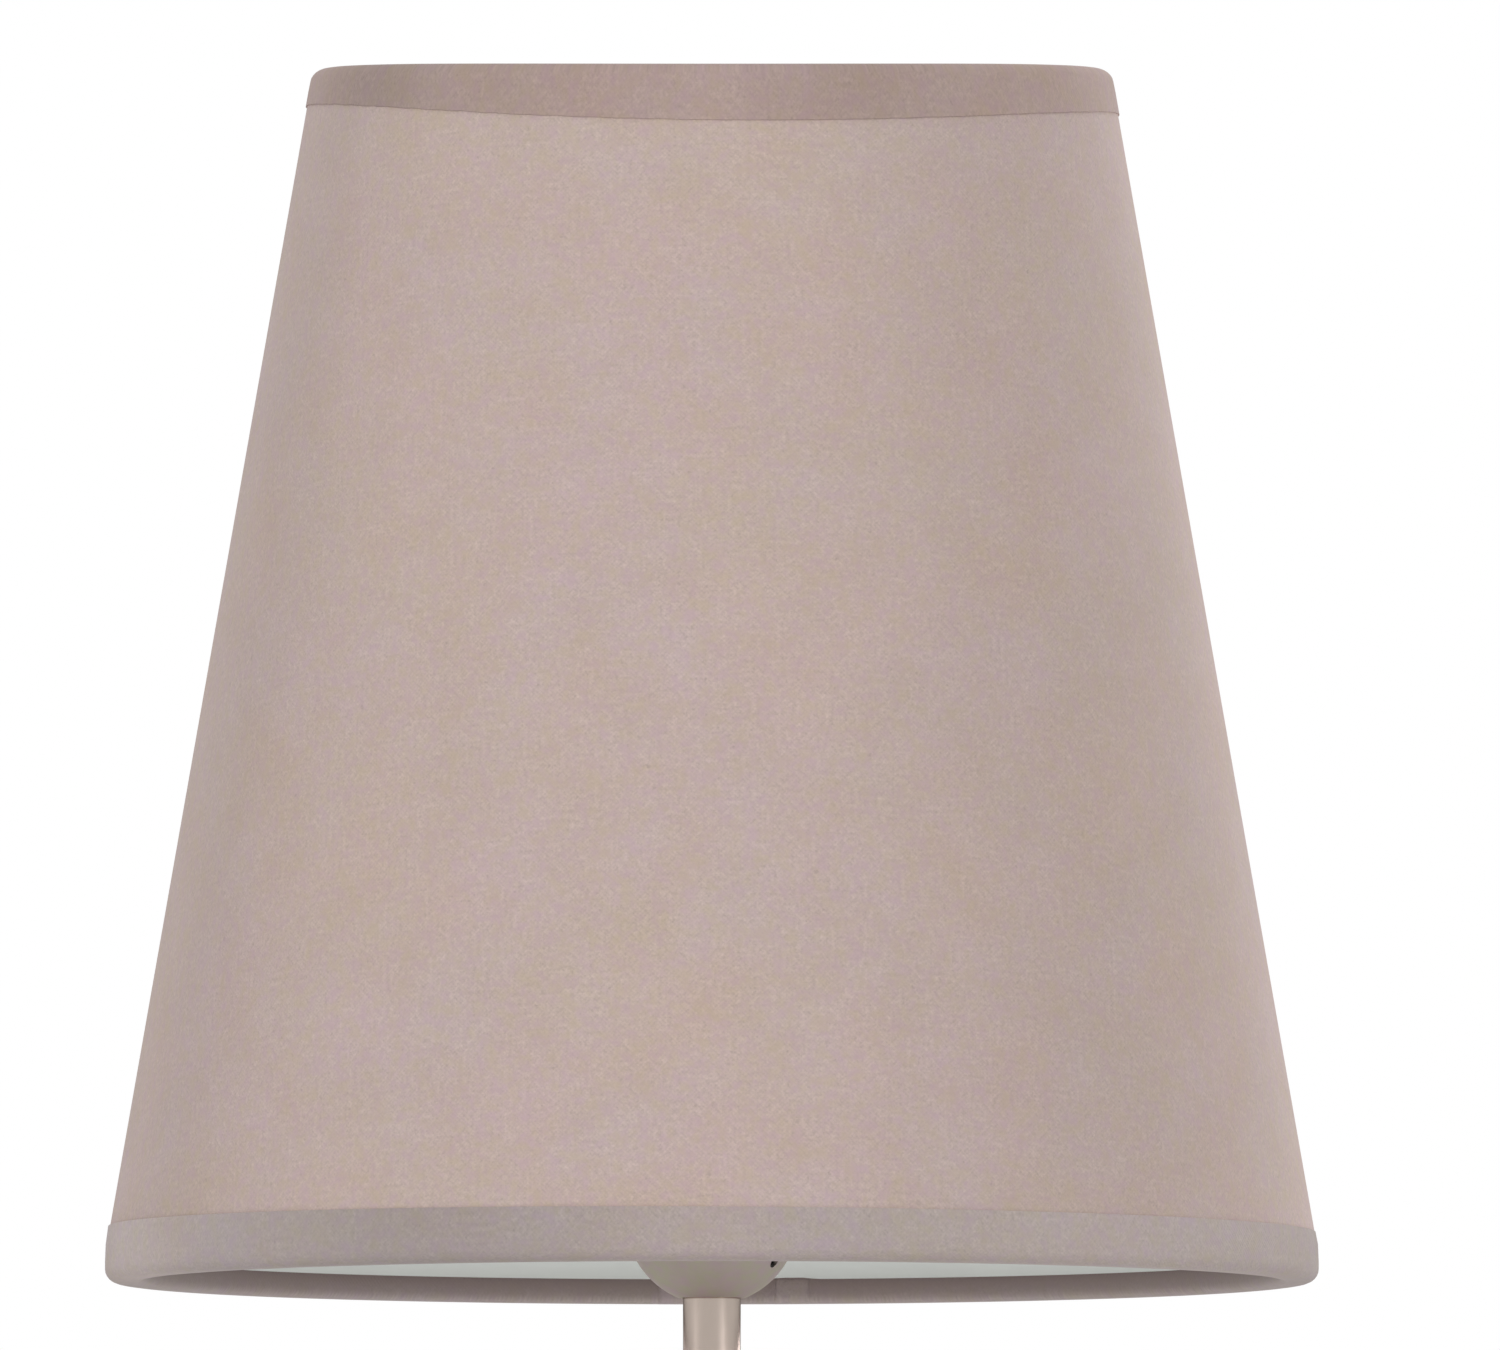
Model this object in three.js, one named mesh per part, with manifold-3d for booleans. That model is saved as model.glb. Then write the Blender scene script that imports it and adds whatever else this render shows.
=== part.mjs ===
// A table lamp: a round weighted base, a slim column, a screw-cap lampholder in a bowl-shaped cup,
// a bulb, and a tapered fabric shade that hangs on the lampholder by a three-armed wire carrier.
// Millimetres, +Z up. The origin is the centre of the base's underside, on the table.

import * as THREE from 'three'
import { mergeVertices } from 'three/addons/utils/BufferGeometryUtils.js'
import Module from 'manifold-3d'

const wasm = await Module()
wasm.setup()

// Clearances
const seatGap = 0.3
const runningGap = 0.3
const boreGap = 0.3
const grooveGap = 0.5

// Base
const baseRadius = 65
const baseWall = 1.2
const baseEdgeRadius = 4
const baseDomeRise = 1
const rimLift = 1
const padThickness = 2
const padInset = 1.3
const weightThickness = 14.5
const weightWebThickness = 6.5
const weightRecessMargin = 3
const bushingBoreRadius = 3.3
const bushingWall = 0.8
const bushingLip = 0.9
const bushingLipThickness = 1
const bushingLength = 6

// Column and what clamps it
const columnRadius = 5
const columnWall = 1
const columnLength = 193
const columnThreadTail = 0.5
const washerWidth = 4.7
const washerThickness = 1.5
const nutWall = 3.2
const nutThickness = 3
const collarNeckWall = 1.6
const collarFlare = 4.1
const collarHeight = 7
const collarSweepHeight = 5

// Lampholder, built outwards from the bore of its screw shell
const shellBoreRadius = 7.15
const shellWall = 0.5
const shellFlare = 0.6
const shellTopDrop = 2.4
const carrierBlockLedge = 1.85
const carrierBlockHeight = 9
const carrierBlockFlange = 2.7
const skirtSpigotDepth = 4
const skirtSpigotWall = 1.3
const skirtNeckHeight = 3.3
const skirtBoreRadius = 12
const skirtWall = 2
const skirtHeight = 32
const skirtChamfer = 0.8
const shoulderLedge = 2.5
const shoulderThickness = 2.2
const capWall = 1.4
const capBossWall = 2.3
const capTaperHeight = 7.5
const columnTopGap = 0.6
const columnInHolder = 10.7
const cupCapGap = 1.2
const cupWall = 1
const cupLip = 0.4
const cupHeight = 17
const cupFloorThickness = 2.7
const terminalScrewRadius = 1.2
const terminalHeadRadius = 2
const terminalHeadHeight = 1.6
const terminalHeadRoom = 0.5
const tongueThickness = 0.5
const tongueWidth = 4
const tongueReach = 5
const tongueRise = 2.4

// Bulb
const bulbThreadGap = 0.3
const bulbCapWall = 0.35
const bulbCapHeight = 15
const bulbCementGap = 0.4
const bulbTipRadius = 2.4
const bulbTipFlatRadius = 1.4
const bulbTipHeight = 1.1
const bulbInsulatorHeight = 3
const bulbInsulatorShelf = 1
const bulbGlassWall = 0.9
const bulbNeckInsert = 8
const bulbFlare = 2.3
const bulbFlareHeight = 4
const bulbNeckLength = 12
const bulbGlobeRadius = 22.5
const bulbGlobeJoinAngle = Math.PI * -0.34

// Shade and its wire carrier
const shadeBottomRadius = 105
const shadeTopRadius = 69
const shadeHeight = 210
const shadeRecess = 23.8
const fabricThickness = 0.6
const liningThickness = 0.8
const trimThickness = 0.6
const trimOutsideHeight = 8.7
const trimInsideHeight = 5
const trimEdgeRound = 0.5
const ringWireRadius = 1.5
const armWireRadius = 1.75
const armCount = 3
const armFlatLength = 7
const armBendLength = 6
const armNotchGap = 0.6
const plateBoreGap = 0.5
const plateWidth = 6.5
const plateThickness = 2

// Threaded ring that clamps the shade
const ringNutHeight = 8
const ringNutFlange = 5.2
const ringNutFlangeThickness = 2.4
const ringNutWall = 3.3
const ringNutGripDepth = 0.9
const ringNutGripCount = 18

// Sides of round pieces
const shadeSides = 56
const baseSides = 40
const holderSides = 28
const bulbSides = 24
const smallSides = 12
const wireSides = 6
const armSides = 8
const armSteps = 16
const edgeSteps = 3
const bowlSteps = 6
const globeSteps = 8

// Radii that follow
const padRadius = baseRadius - baseWall - padInset
const bushingRadius = bushingBoreRadius + bushingWall
const bushingLipRadius = bushingRadius + bushingLip
const columnBore = columnRadius + boreGap
const washerRadius = columnBore + washerWidth
const weightRecessRadius = washerRadius + weightRecessMargin
const collarNeckRadius = columnBore + collarNeckWall
const collarRadius = collarNeckRadius + collarFlare
const carrierBlockRadius = shellBoreRadius + shellWall + carrierBlockLedge
const spigotBoreRadius = carrierBlockRadius + boreGap
const spigotRadius = spigotBoreRadius + skirtSpigotWall
const chamberRadius = spigotRadius + boreGap
const capRadius = chamberRadius + capWall
const cupBoreRadius = capRadius + cupCapGap
const cupRadius = cupBoreRadius + cupWall
const skirtRadius = skirtBoreRadius + skirtWall
const plateBoreRadius = skirtRadius + plateBoreGap
const plateRadius = plateBoreRadius + plateWidth
const shoulderRadius = plateBoreRadius + shoulderLedge
const ringNutBoreRadius = skirtRadius + boreGap
const terminalOffset = carrierBlockRadius - terminalHeadRadius
const bulbCapRadius = shellBoreRadius - bulbThreadGap
const bulbCapBoreRadius = bulbCapRadius - bulbCapWall
const bulbNeckRadius = bulbCapBoreRadius - bulbCementGap

// Heights that follow, from the table up
const bushingHeight = padThickness + grooveGap + bushingLipRadius
const weightTop = padThickness + weightThickness
const weightWebBottom = weightTop - weightWebThickness
const coverTop = weightTop + seatGap + baseWall
const collarTop = coverTop + collarHeight
const nutBottom = weightWebBottom - washerThickness - nutThickness
const columnFoot = nutBottom - columnThreadTail
const columnTop = columnFoot + columnLength
const cupBottom = columnTop - columnInHolder
const capBottom = cupBottom + cupFloorThickness
const capFloor = columnTop + columnTopGap
const carrierBlockBottom = capFloor + terminalHeadRoom + terminalHeadHeight + seatGap
const carrierBlockTop = carrierBlockBottom + carrierBlockHeight
const carrierFlangeTop = carrierBlockBottom + carrierBlockFlange
const spigotBottom = carrierFlangeTop + seatGap
const capTop = spigotBottom + skirtSpigotDepth
const shoulderBottom = capTop + skirtNeckHeight
const shoulderTop = shoulderBottom + shoulderThickness
const skirtTop = capTop + skirtHeight
const tongueCrest = carrierBlockTop + tongueRise
const bulbBottom = tongueCrest + seatGap
const bulbTipTop = bulbBottom + bulbTipHeight
const insulatorBottom = bulbTipTop + seatGap
const bulbCapBottom = insulatorBottom + bulbInsulatorHeight + seatGap
const bulbCapTop = bulbCapBottom + bulbCapHeight
const bulbFlareTop = bulbCapTop + bulbFlareHeight
const bulbGlobeCentre = bulbFlareTop + bulbNeckLength - bulbGlobeRadius * Math.sin(bulbGlobeJoinAngle)
const shellTop = bulbCapTop - shellTopDrop
const plateBottom = shoulderTop + runningGap
const plateTop = plateBottom + plateThickness
const ringNutBottom = plateTop + runningGap
const shadeBottom = plateBottom - shadeRecess
const shadeTop = shadeBottom + shadeHeight

// Rings of wire inside the shade's two hems
const hemDepth = trimThickness + seatGap
const liningDepth = trimThickness + fabricThickness + 2 * seatGap
const ringDepth = liningDepth + liningThickness + seatGap + ringWireRadius
const bottomRingHeight = shadeBottom + hemDepth + ringWireRadius
const topRingHeight = shadeTop - hemDepth - ringWireRadius
const bottomRingRadius = shadeRadiusAt(bottomRingHeight) - ringDepth
const topRingRadius = shadeRadiusAt(topRingHeight) - ringDepth

const quarterTurn = Math.PI / 2
const fullTurn = Math.PI * 2

function finish(colour, roughness, metalness) {
  return new THREE.MeshStandardMaterial({ color: colour, roughness: roughness, metalness: metalness })
}

const satinNickel = finish(0xaea49c, 0.3, 1)
const castIron = finish(0x3a3a3c, 0.8, 0.4)
const feltFinish = finish(0x2d2c2b, 1, 0)
const plainSteel = finish(0x9a9a98, 0.4, 1)
const whiteWire = finish(0xe4e2dc, 0.45, 0.1)
const blackPlastic = finish(0x232323, 0.5, 0)
const whitePlastic = finish(0xe9e6de, 0.45, 0)
const brass = finish(0xc2a25a, 0.35, 1)
const bareAluminium = finish(0xc9cacb, 0.4, 1)
const solder = finish(0xa9aaa8, 0.45, 1)
const blackGlass = finish(0x17161a, 0.25, 0)
const opalGlass = finish(0xf3f1ea, 0.25, 0)
const shadeCloth = finish(0xbfada7, 0.9, 0)
const hemCloth = finish(0xae9a94, 0.9, 0)
const whiteLining = finish(0xd5d5d0, 0.6, 0)

// Round and extruded forms

function revolve(points, sides) {
  const profile = points.map(([radius, height]) => new THREE.Vector2(radius, height))
  const geometry = new THREE.LatheGeometry(profile, sides)
  return geometry.rotateX(quarterTurn)
}

function closedRevolve(points, sides) {
  return revolve([...points, points[0]], sides)
}

function arc(centreRadius, centreHeight, radius, startAngle, endAngle, steps) {
  const points = []
  for (let step = 0; step <= steps; step += 1) {
    const angle = startAngle + ((endAngle - startAngle) * step) / steps
    const outward = centreRadius + radius * Math.cos(angle)
    const upward = centreHeight + radius * Math.sin(angle)
    points.push([outward, upward])
  }
  return points
}

function disc(radius, bottom, top, sides) {
  return revolve([[0, bottom], [radius, bottom], [radius, top], [0, top]], sides)
}

function hollowDisc(bore, radius, bottom, top, sides) {
  return closedRevolve([[bore, bottom], [radius, bottom], [radius, top], [bore, top]], sides)
}

function circle(radius, sides) {
  return Array.from({ length: sides }, (unused, side) => {
    const angle = (fullTurn * side) / sides
    return new THREE.Vector2(radius * Math.cos(angle), radius * Math.sin(angle))
  })
}

function upright(shape, bottom, height) {
  const geometry = new THREE.ExtrudeGeometry(shape, { depth: height, bevelEnabled: false })
  return geometry.translate(0, 0, bottom)
}

// Joining and cutting

function solidOf(geometry) {
  const bare = geometry.clone()
  bare.deleteAttribute('normal')
  bare.deleteAttribute('uv')
  const merged = mergeVertices(bare, 1e-4)
  const vertProperties = new Float32Array(merged.attributes.position.array)
  const triVerts = new Uint32Array(merged.index.array)
  return new wasm.Manifold(new wasm.Mesh({ numProp: 3, vertProperties, triVerts }))
}

function geometryOf(solid) {
  const mesh = solid.getMesh()
  const geometry = new THREE.BufferGeometry()
  geometry.setAttribute('position', new THREE.BufferAttribute(mesh.vertProperties, 3))
  geometry.setIndex(new THREE.BufferAttribute(mesh.triVerts, 1))
  geometry.computeVertexNormals()
  return geometry
}

function cutAway(body, tools) {
  const solid = tools.reduce((rest, tool) => rest.subtract(solidOf(tool)), solidOf(body))
  return geometryOf(solid)
}

function fuse(first, second) {
  return geometryOf(solidOf(first).add(solidOf(second)))
}

function block(low, high) {
  const size = high.map((value, axis) => value - low[axis])
  const middle = high.map((value, axis) => (value + low[axis]) / 2)
  return new THREE.BoxGeometry(...size).translate(...middle)
}

function rearBar(radius, height, front, back) {
  const bar = new THREE.CylinderGeometry(radius, radius, back - front, smallSides)
  return bar.translate(0, (front + back) / 2, height)
}

// Outline of the shade

function shadeRadiusAt(height) {
  const fraction = (height - shadeBottom) / shadeHeight
  return shadeBottomRadius + (shadeTopRadius - shadeBottomRadius) * fraction
}

function shadeWall(depth, thickness) {
  const low = shadeBottom + hemDepth
  const high = shadeTop - hemDepth
  const outside = [[shadeRadiusAt(low) - depth, low], [shadeRadiusAt(high) - depth, high]]
  const inside = outside.map(([radius, height]) => [radius - thickness, height])
  return closedRevolve([...outside, inside[1], inside[0]], shadeSides)
}

// Base

function feltPad() {
  return disc(padRadius, 0, padThickness, baseSides)
}

function baseSkin(inset) {
  const edgeCentreRadius = baseRadius - baseEdgeRadius
  const edgeCentreHeight = coverTop - baseDomeRise - baseEdgeRadius
  const edge = arc(edgeCentreRadius, edgeCentreHeight, baseEdgeRadius - inset, 0, quarterTurn, edgeSteps)
  const domeRadii = [edgeCentreRadius * 2 / 3, edgeCentreRadius / 3, columnBore]
  const dome = domeRadii.map((radius) => {
    const drop = baseDomeRise * (radius / edgeCentreRadius) ** 2
    return [radius, coverTop - inset - drop]
  })
  return [[baseRadius - inset, rimLift], ...edge, ...dome]
}

function baseCover() {
  const outside = baseSkin(0)
  const inside = baseSkin(baseWall).reverse()
  const shell = closedRevolve([...outside, ...inside], baseSides)
  const holeStart = baseRadius - baseWall - baseEdgeRadius
  const hole = rearBar(bushingRadius + boreGap, bushingHeight, holeStart, baseRadius + baseWall)
  return cutAway(shell, [hole])
}

function baseWeight() {
  const skin = baseSkin(baseWall + seatGap)
  skin[0][1] = padThickness
  const recess = [
    [columnBore, weightWebBottom],
    [weightRecessRadius, weightWebBottom],
    [weightRecessRadius, padThickness],
  ]
  const body = closedRevolve([...skin, ...recess], baseSides)
  const halfWidth = bushingLipRadius + grooveGap
  const groove = block(
    [-halfWidth, washerRadius + grooveGap, 0],
    [halfWidth, baseRadius, bushingHeight + halfWidth],
  )
  return cutAway(body, [groove])
}

function cordBushing() {
  const lipInside = baseRadius + seatGap
  const lipOutside = lipInside + bushingLipThickness
  const start = lipOutside - bushingLength
  const profile = [
    [bushingBoreRadius, start],
    [bushingRadius, start],
    [bushingRadius, lipInside],
    [bushingLipRadius, lipInside],
    [bushingLipRadius, lipOutside],
    [bushingBoreRadius, lipOutside],
  ]
  const bushing = closedRevolve(profile, smallSides)
  return bushing.rotateX(-quarterTurn).translate(0, 0, bushingHeight)
}

function clampWasher() {
  const bottom = weightWebBottom - washerThickness
  return hollowDisc(columnBore, washerRadius, bottom, weightWebBottom, holderSides)
}

function clampNut() {
  const cornerRadius = (columnBore + nutWall) / Math.cos(Math.PI / 6)
  const hexagon = new THREE.Shape(circle(cornerRadius, 6))
  hexagon.holes.push(new THREE.Path(circle(columnBore, holderSides)))
  return upright(hexagon, nutBottom, nutThickness)
}

// Column

function columnTube() {
  return hollowDisc(columnRadius - columnWall, columnRadius, columnFoot, columnTop, holderSides)
}

function columnCollar() {
  const sweep = arc(0, 0, 1, -quarterTurn, -Math.PI, bowlSteps).map(([across, up]) => [
    collarRadius + across * collarFlare,
    collarTop + up * collarSweepHeight,
  ])
  const foot = [[columnBore, coverTop], [collarRadius, coverTop]]
  return closedRevolve([...foot, ...sweep, [columnBore, collarTop]], holderSides)
}

// Lampholder

function holderCup() {
  const mouth = columnBore + cupLip
  const centre = cupBottom + Math.sqrt(cupRadius ** 2 - mouth ** 2)
  const startAngle = Math.asin((cupBottom - centre) / cupRadius)
  const floorAngle = Math.asin((capBottom - centre) / cupBoreRadius)
  const outside = arc(0, centre, cupRadius, startAngle, 0, bowlSteps)
  const inside = arc(0, centre, cupBoreRadius, 0, floorAngle, bowlSteps)
  const rim = cupBottom + cupHeight
  const wall = [[cupRadius, rim], [cupBoreRadius, rim]]
  return closedRevolve(
    [[columnBore, cupBottom], ...outside, ...wall, ...inside, [columnBore, capBottom]],
    holderSides,
  )
}

function holderCap() {
  const profile = [
    [columnBore, capBottom],
    [columnBore + capBossWall, capBottom],
    [capRadius, capBottom + capTaperHeight],
    [capRadius, capTop],
    [chamberRadius, capTop],
    [chamberRadius, capFloor],
    [columnBore, capFloor],
  ]
  return closedRevolve(profile, holderSides)
}

function holderSkirt() {
  const profile = [
    [spigotBoreRadius, spigotBottom],
    [spigotRadius, spigotBottom],
    [spigotRadius, capTop],
    [capRadius, capTop],
    [capRadius, shoulderBottom - skirtChamfer],
    [shoulderRadius - skirtChamfer, shoulderBottom],
    [shoulderRadius, shoulderBottom + skirtChamfer],
    [shoulderRadius, shoulderTop],
    [skirtRadius, shoulderTop],
    [skirtRadius, skirtTop - skirtChamfer],
    [skirtRadius - skirtChamfer, skirtTop],
    [skirtBoreRadius, skirtTop],
    [skirtBoreRadius, shoulderTop],
    [spigotBoreRadius, shoulderBottom],
  ]
  return closedRevolve(profile, holderSides)
}

function contactCarrier() {
  const profile = [
    [0, carrierBlockBottom],
    [spigotRadius, carrierBlockBottom],
    [spigotRadius, carrierFlangeTop],
    [carrierBlockRadius, carrierFlangeTop],
    [carrierBlockRadius, carrierBlockTop],
    [0, carrierBlockTop],
  ]
  const holeTop = carrierFlangeTop + seatGap
  const holes = [1, -1].map((side) => {
    const hole = disc(terminalScrewRadius + boreGap, capFloor, holeTop, smallSides)
    return hole.translate(side * terminalOffset, 0, 0)
  })
  return cutAway(revolve(profile, holderSides), holes)
}

function terminalScrew() {
  const headTop = carrierBlockBottom - seatGap
  const profile = [
    [0, headTop - terminalHeadHeight],
    [terminalHeadRadius, headTop - terminalHeadHeight],
    [terminalHeadRadius, headTop],
    [terminalScrewRadius, headTop],
    [terminalScrewRadius, carrierFlangeTop],
    [0, carrierFlangeTop],
  ]
  return revolve(profile, smallSides)
}

function screwShell() {
  const outerRadius = shellBoreRadius + shellWall
  const flareStart = shellTop - 2 * shellFlare
  const profile = [
    [shellBoreRadius, carrierBlockTop],
    [outerRadius, carrierBlockTop],
    [outerRadius, flareStart],
    [outerRadius + shellFlare, shellTop],
    [shellBoreRadius + shellFlare, shellTop],
    [shellBoreRadius, flareStart],
  ]
  return closedRevolve(profile, holderSides)
}

function centreContact() {
  const knee = tongueReach / 2
  const strip = new THREE.Shape()
  strip.moveTo(-tongueReach, carrierBlockTop)
  strip.lineTo(-knee, carrierBlockTop)
  strip.lineTo(-tongueThickness, tongueCrest - tongueThickness)
  strip.lineTo(knee, tongueCrest - 2 * tongueThickness)
  strip.lineTo(knee, tongueCrest - tongueThickness)
  strip.lineTo(0, tongueCrest)
  strip.lineTo(-2 * tongueThickness, tongueCrest)
  strip.lineTo(-knee - tongueThickness, carrierBlockTop + tongueThickness)
  strip.lineTo(-tongueReach, carrierBlockTop + tongueThickness)
  strip.closePath()
  const geometry = new THREE.ExtrudeGeometry(strip, { depth: tongueWidth, bevelEnabled: false })
  return geometry.translate(0, 0, -tongueWidth / 2).rotateX(quarterTurn)
}

// Bulb

function bulbSkin(inset) {
  const globeRadius = bulbGlobeRadius - inset
  const globe = arc(0, bulbGlobeCentre, globeRadius, bulbGlobeJoinAngle, quarterTurn, globeSteps)
  const neck = [
    [bulbNeckRadius - inset, bulbCapTop - bulbNeckInsert],
    [bulbNeckRadius - inset, bulbCapTop + seatGap],
    [bulbNeckRadius + bulbFlare - inset, bulbFlareTop],
  ]
  return [...neck, ...globe]
}

function bulbGlass() {
  return revolve([...bulbSkin(bulbGlassWall).reverse(), ...bulbSkin(0)], bulbSides)
}

function bulbCap() {
  return hollowDisc(bulbCapBoreRadius, bulbCapRadius, bulbCapBottom, bulbCapTop, bulbSides)
}

function bulbInsulator() {
  const shelfRadius = bulbCapBoreRadius - boreGap
  const profile = [
    [0, insulatorBottom],
    [bulbTipRadius + bulbInsulatorShelf, insulatorBottom],
    [shelfRadius, bulbCapBottom - seatGap],
    [shelfRadius, bulbCapBottom + bulbInsulatorShelf],
    [0, bulbCapBottom + bulbInsulatorShelf],
  ]
  return revolve(profile, bulbSides)
}

function bulbTip() {
  const profile = [
    [0, bulbBottom],
    [bulbTipFlatRadius, bulbBottom],
    [bulbTipRadius, bulbBottom + bulbTipHeight / 2],
    [bulbTipRadius, bulbTipTop],
    [0, bulbTipTop],
  ]
  return revolve(profile, smallSides)
}

// Shade

function shadeFabric() {
  return shadeWall(trimThickness + seatGap, fabricThickness)
}

function shadeLining() {
  return shadeWall(liningDepth, liningThickness)
}

function hemProfile(edge, direction, ringRadius) {
  const at = (depth) => edge + direction * depth
  const outside = (depth, inset) => [shadeRadiusAt(at(depth)) - inset, at(depth)]
  const inside = ringRadius - ringWireRadius - seatGap
  return [
    outside(0, trimEdgeRound),
    outside(trimEdgeRound, 0),
    outside(trimOutsideHeight, 0),
    outside(trimOutsideHeight, trimThickness),
    outside(trimThickness, trimThickness),
    [inside, at(trimThickness)],
    [inside, at(trimInsideHeight)],
    [inside - trimThickness, at(trimInsideHeight)],
    [inside - trimThickness, at(trimEdgeRound)],
    [inside - trimThickness + trimEdgeRound, at(0)],
  ]
}

function topTrim() {
  const profile = hemProfile(shadeTop, -1, topRingRadius)
  return closedRevolve(profile.reverse(), shadeSides)
}

function bottomTrim() {
  const band = closedRevolve(hemProfile(shadeBottom, 1, bottomRingRadius), shadeSides)
  const ringInside = bottomRingRadius - ringWireRadius
  const halfWidth = armWireRadius + armNotchGap
  const notches = armAngles().map((angle) => {
    const low = [ringInside - seatGap - 2 * trimThickness, -halfWidth, shadeBottom + hemDepth]
    const high = [ringInside, halfWidth, shadeBottom + trimInsideHeight + armNotchGap]
    return block(low, high).rotateZ(angle)
  })
  return cutAway(band, notches)
}

function wireRing(radius, height) {
  const section = arc(radius, height, ringWireRadius, 0, fullTurn, wireSides)
  return revolve(section, shadeSides)
}

// Wire carrier of the shade

function armAngles() {
  return Array.from({ length: armCount }, (unused, arm) => quarterTurn + (fullTurn * arm) / armCount)
}

function carrierPlate() {
  return hollowDisc(plateBoreRadius, plateRadius, plateBottom, plateTop, holderSides)
}

function carrierArm(angle) {
  const flatHeight = plateBottom - seatGap - armWireRadius
  const innerEnd = new THREE.Vector3(shoulderRadius + 2 * runningGap, 0, flatHeight)
  const bendStart = new THREE.Vector3(innerEnd.x + armFlatLength, 0, flatHeight)
  const ringCentre = new THREE.Vector3(bottomRingRadius, 0, bottomRingHeight)
  const slope = ringCentre.clone().sub(bendStart).normalize()
  const bendEnd = bendStart.clone().addScaledVector(slope, armBendLength)
  const outerEnd = ringCentre.clone().addScaledVector(slope, -ringWireRadius - seatGap)
  const straightStart = bendStart.clone().setX(bendStart.x - armBendLength)
  const route = new THREE.CurvePath()
  route.add(new THREE.LineCurve3(innerEnd, straightStart))
  route.add(new THREE.QuadraticBezierCurve3(straightStart, bendStart, bendEnd))
  route.add(new THREE.LineCurve3(bendEnd, outerEnd))
  const section = new THREE.Shape(circle(armWireRadius, armSides))
  const geometry = new THREE.ExtrudeGeometry(section, { steps: armSteps, extrudePath: route })
  return geometry.rotateZ(angle)
}

function ringNut() {
  const flangeRadius = ringNutBoreRadius + ringNutFlange
  const flangeTop = ringNutBottom + ringNutFlangeThickness
  const flange = hollowDisc(ringNutBoreRadius, flangeRadius, ringNutBottom, flangeTop, holderSides)
  const ridgeRadius = ringNutBoreRadius + ringNutWall
  const corners = []
  for (let grip = 0; grip < ringNutGripCount; grip += 1) {
    const quarters = [0, 1, 2, 3].map((quarter) => (fullTurn * (grip + quarter / 4)) / ringNutGripCount)
    quarters.forEach((angle, quarter) => {
      const radius = quarter < 2 ? ridgeRadius - ringNutGripDepth : ridgeRadius
      corners.push(new THREE.Vector2(radius * Math.cos(angle), radius * Math.sin(angle)))
    })
  }
  const outline = new THREE.Shape(corners)
  outline.holes.push(new THREE.Path(circle(ringNutBoreRadius, holderSides)))
  return fuse(flange, upright(outline, ringNutBottom, ringNutHeight))
}

// Assembly

const lamp = new THREE.Group()
lamp.name = 'table_lamp'

const base = new THREE.Group()
const column = new THREE.Group()
const lampholder = new THREE.Group()
const bulb = new THREE.Group()
const shade = new THREE.Group()
lamp.add(base, column, lampholder, bulb, shade)

function place(group, name, geometry, surface) {
  const mesh = new THREE.Mesh(geometry, surface.clone())
  mesh.name = name
  group.add(mesh)
  return mesh
}

place(base, 'felt_pad', feltPad(), feltFinish)
place(base, 'base_weight', baseWeight(), castIron)
place(base, 'base_cover', baseCover(), satinNickel)
place(base, 'cord_bushing', cordBushing(), blackPlastic)
place(base, 'clamp_washer', clampWasher(), plainSteel)
place(base, 'clamp_nut', clampNut(), plainSteel)

place(column, 'column_tube', columnTube(), satinNickel)
place(column, 'column_collar', columnCollar(), satinNickel)

place(lampholder, 'holder_cup', holderCup(), satinNickel)
place(lampholder, 'holder_cap', holderCap(), whitePlastic)
place(lampholder, 'holder_skirt', holderSkirt(), whitePlastic)
place(lampholder, 'contact_carrier', contactCarrier(), whitePlastic)
place(lampholder, 'screw_shell', screwShell(), brass)
place(lampholder, 'centre_contact', centreContact(), brass)
place(lampholder, 'terminal_screw_right', terminalScrew(), plainSteel).position.x = terminalOffset
place(lampholder, 'terminal_screw_left', terminalScrew(), plainSteel).position.x = -terminalOffset
place(lampholder, 'shade_ring', ringNut(), whitePlastic)

place(bulb, 'bulb_glass', bulbGlass(), opalGlass)
place(bulb, 'bulb_cap', bulbCap(), bareAluminium)
place(bulb, 'bulb_insulator', bulbInsulator(), blackGlass)
place(bulb, 'bulb_contact', bulbTip(), solder)

place(shade, 'shade_fabric', shadeFabric(), shadeCloth)
place(shade, 'shade_lining', shadeLining(), whiteLining)
place(shade, 'top_trim', topTrim(), hemCloth)
place(shade, 'bottom_trim', bottomTrim(), hemCloth)
place(shade, 'top_ring', wireRing(topRingRadius, topRingHeight), whiteWire)
place(shade, 'bottom_ring', wireRing(bottomRingRadius, bottomRingHeight), whiteWire)
place(shade, 'carrier_plate', carrierPlate(), whiteWire)
armAngles().forEach((angle, arm) => {
  place(shade, `carrier_arm_${arm + 1}`, carrierArm(angle), whiteWire)
})

export default lamp
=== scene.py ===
"""Table lamp with a tapered cloth shade: the visual model, built around the packed solids.

Metres, +Z up, in the solids' own frame. The modelling helpers take millimetres, as a maker reads a drawing.
"""

import math

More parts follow.
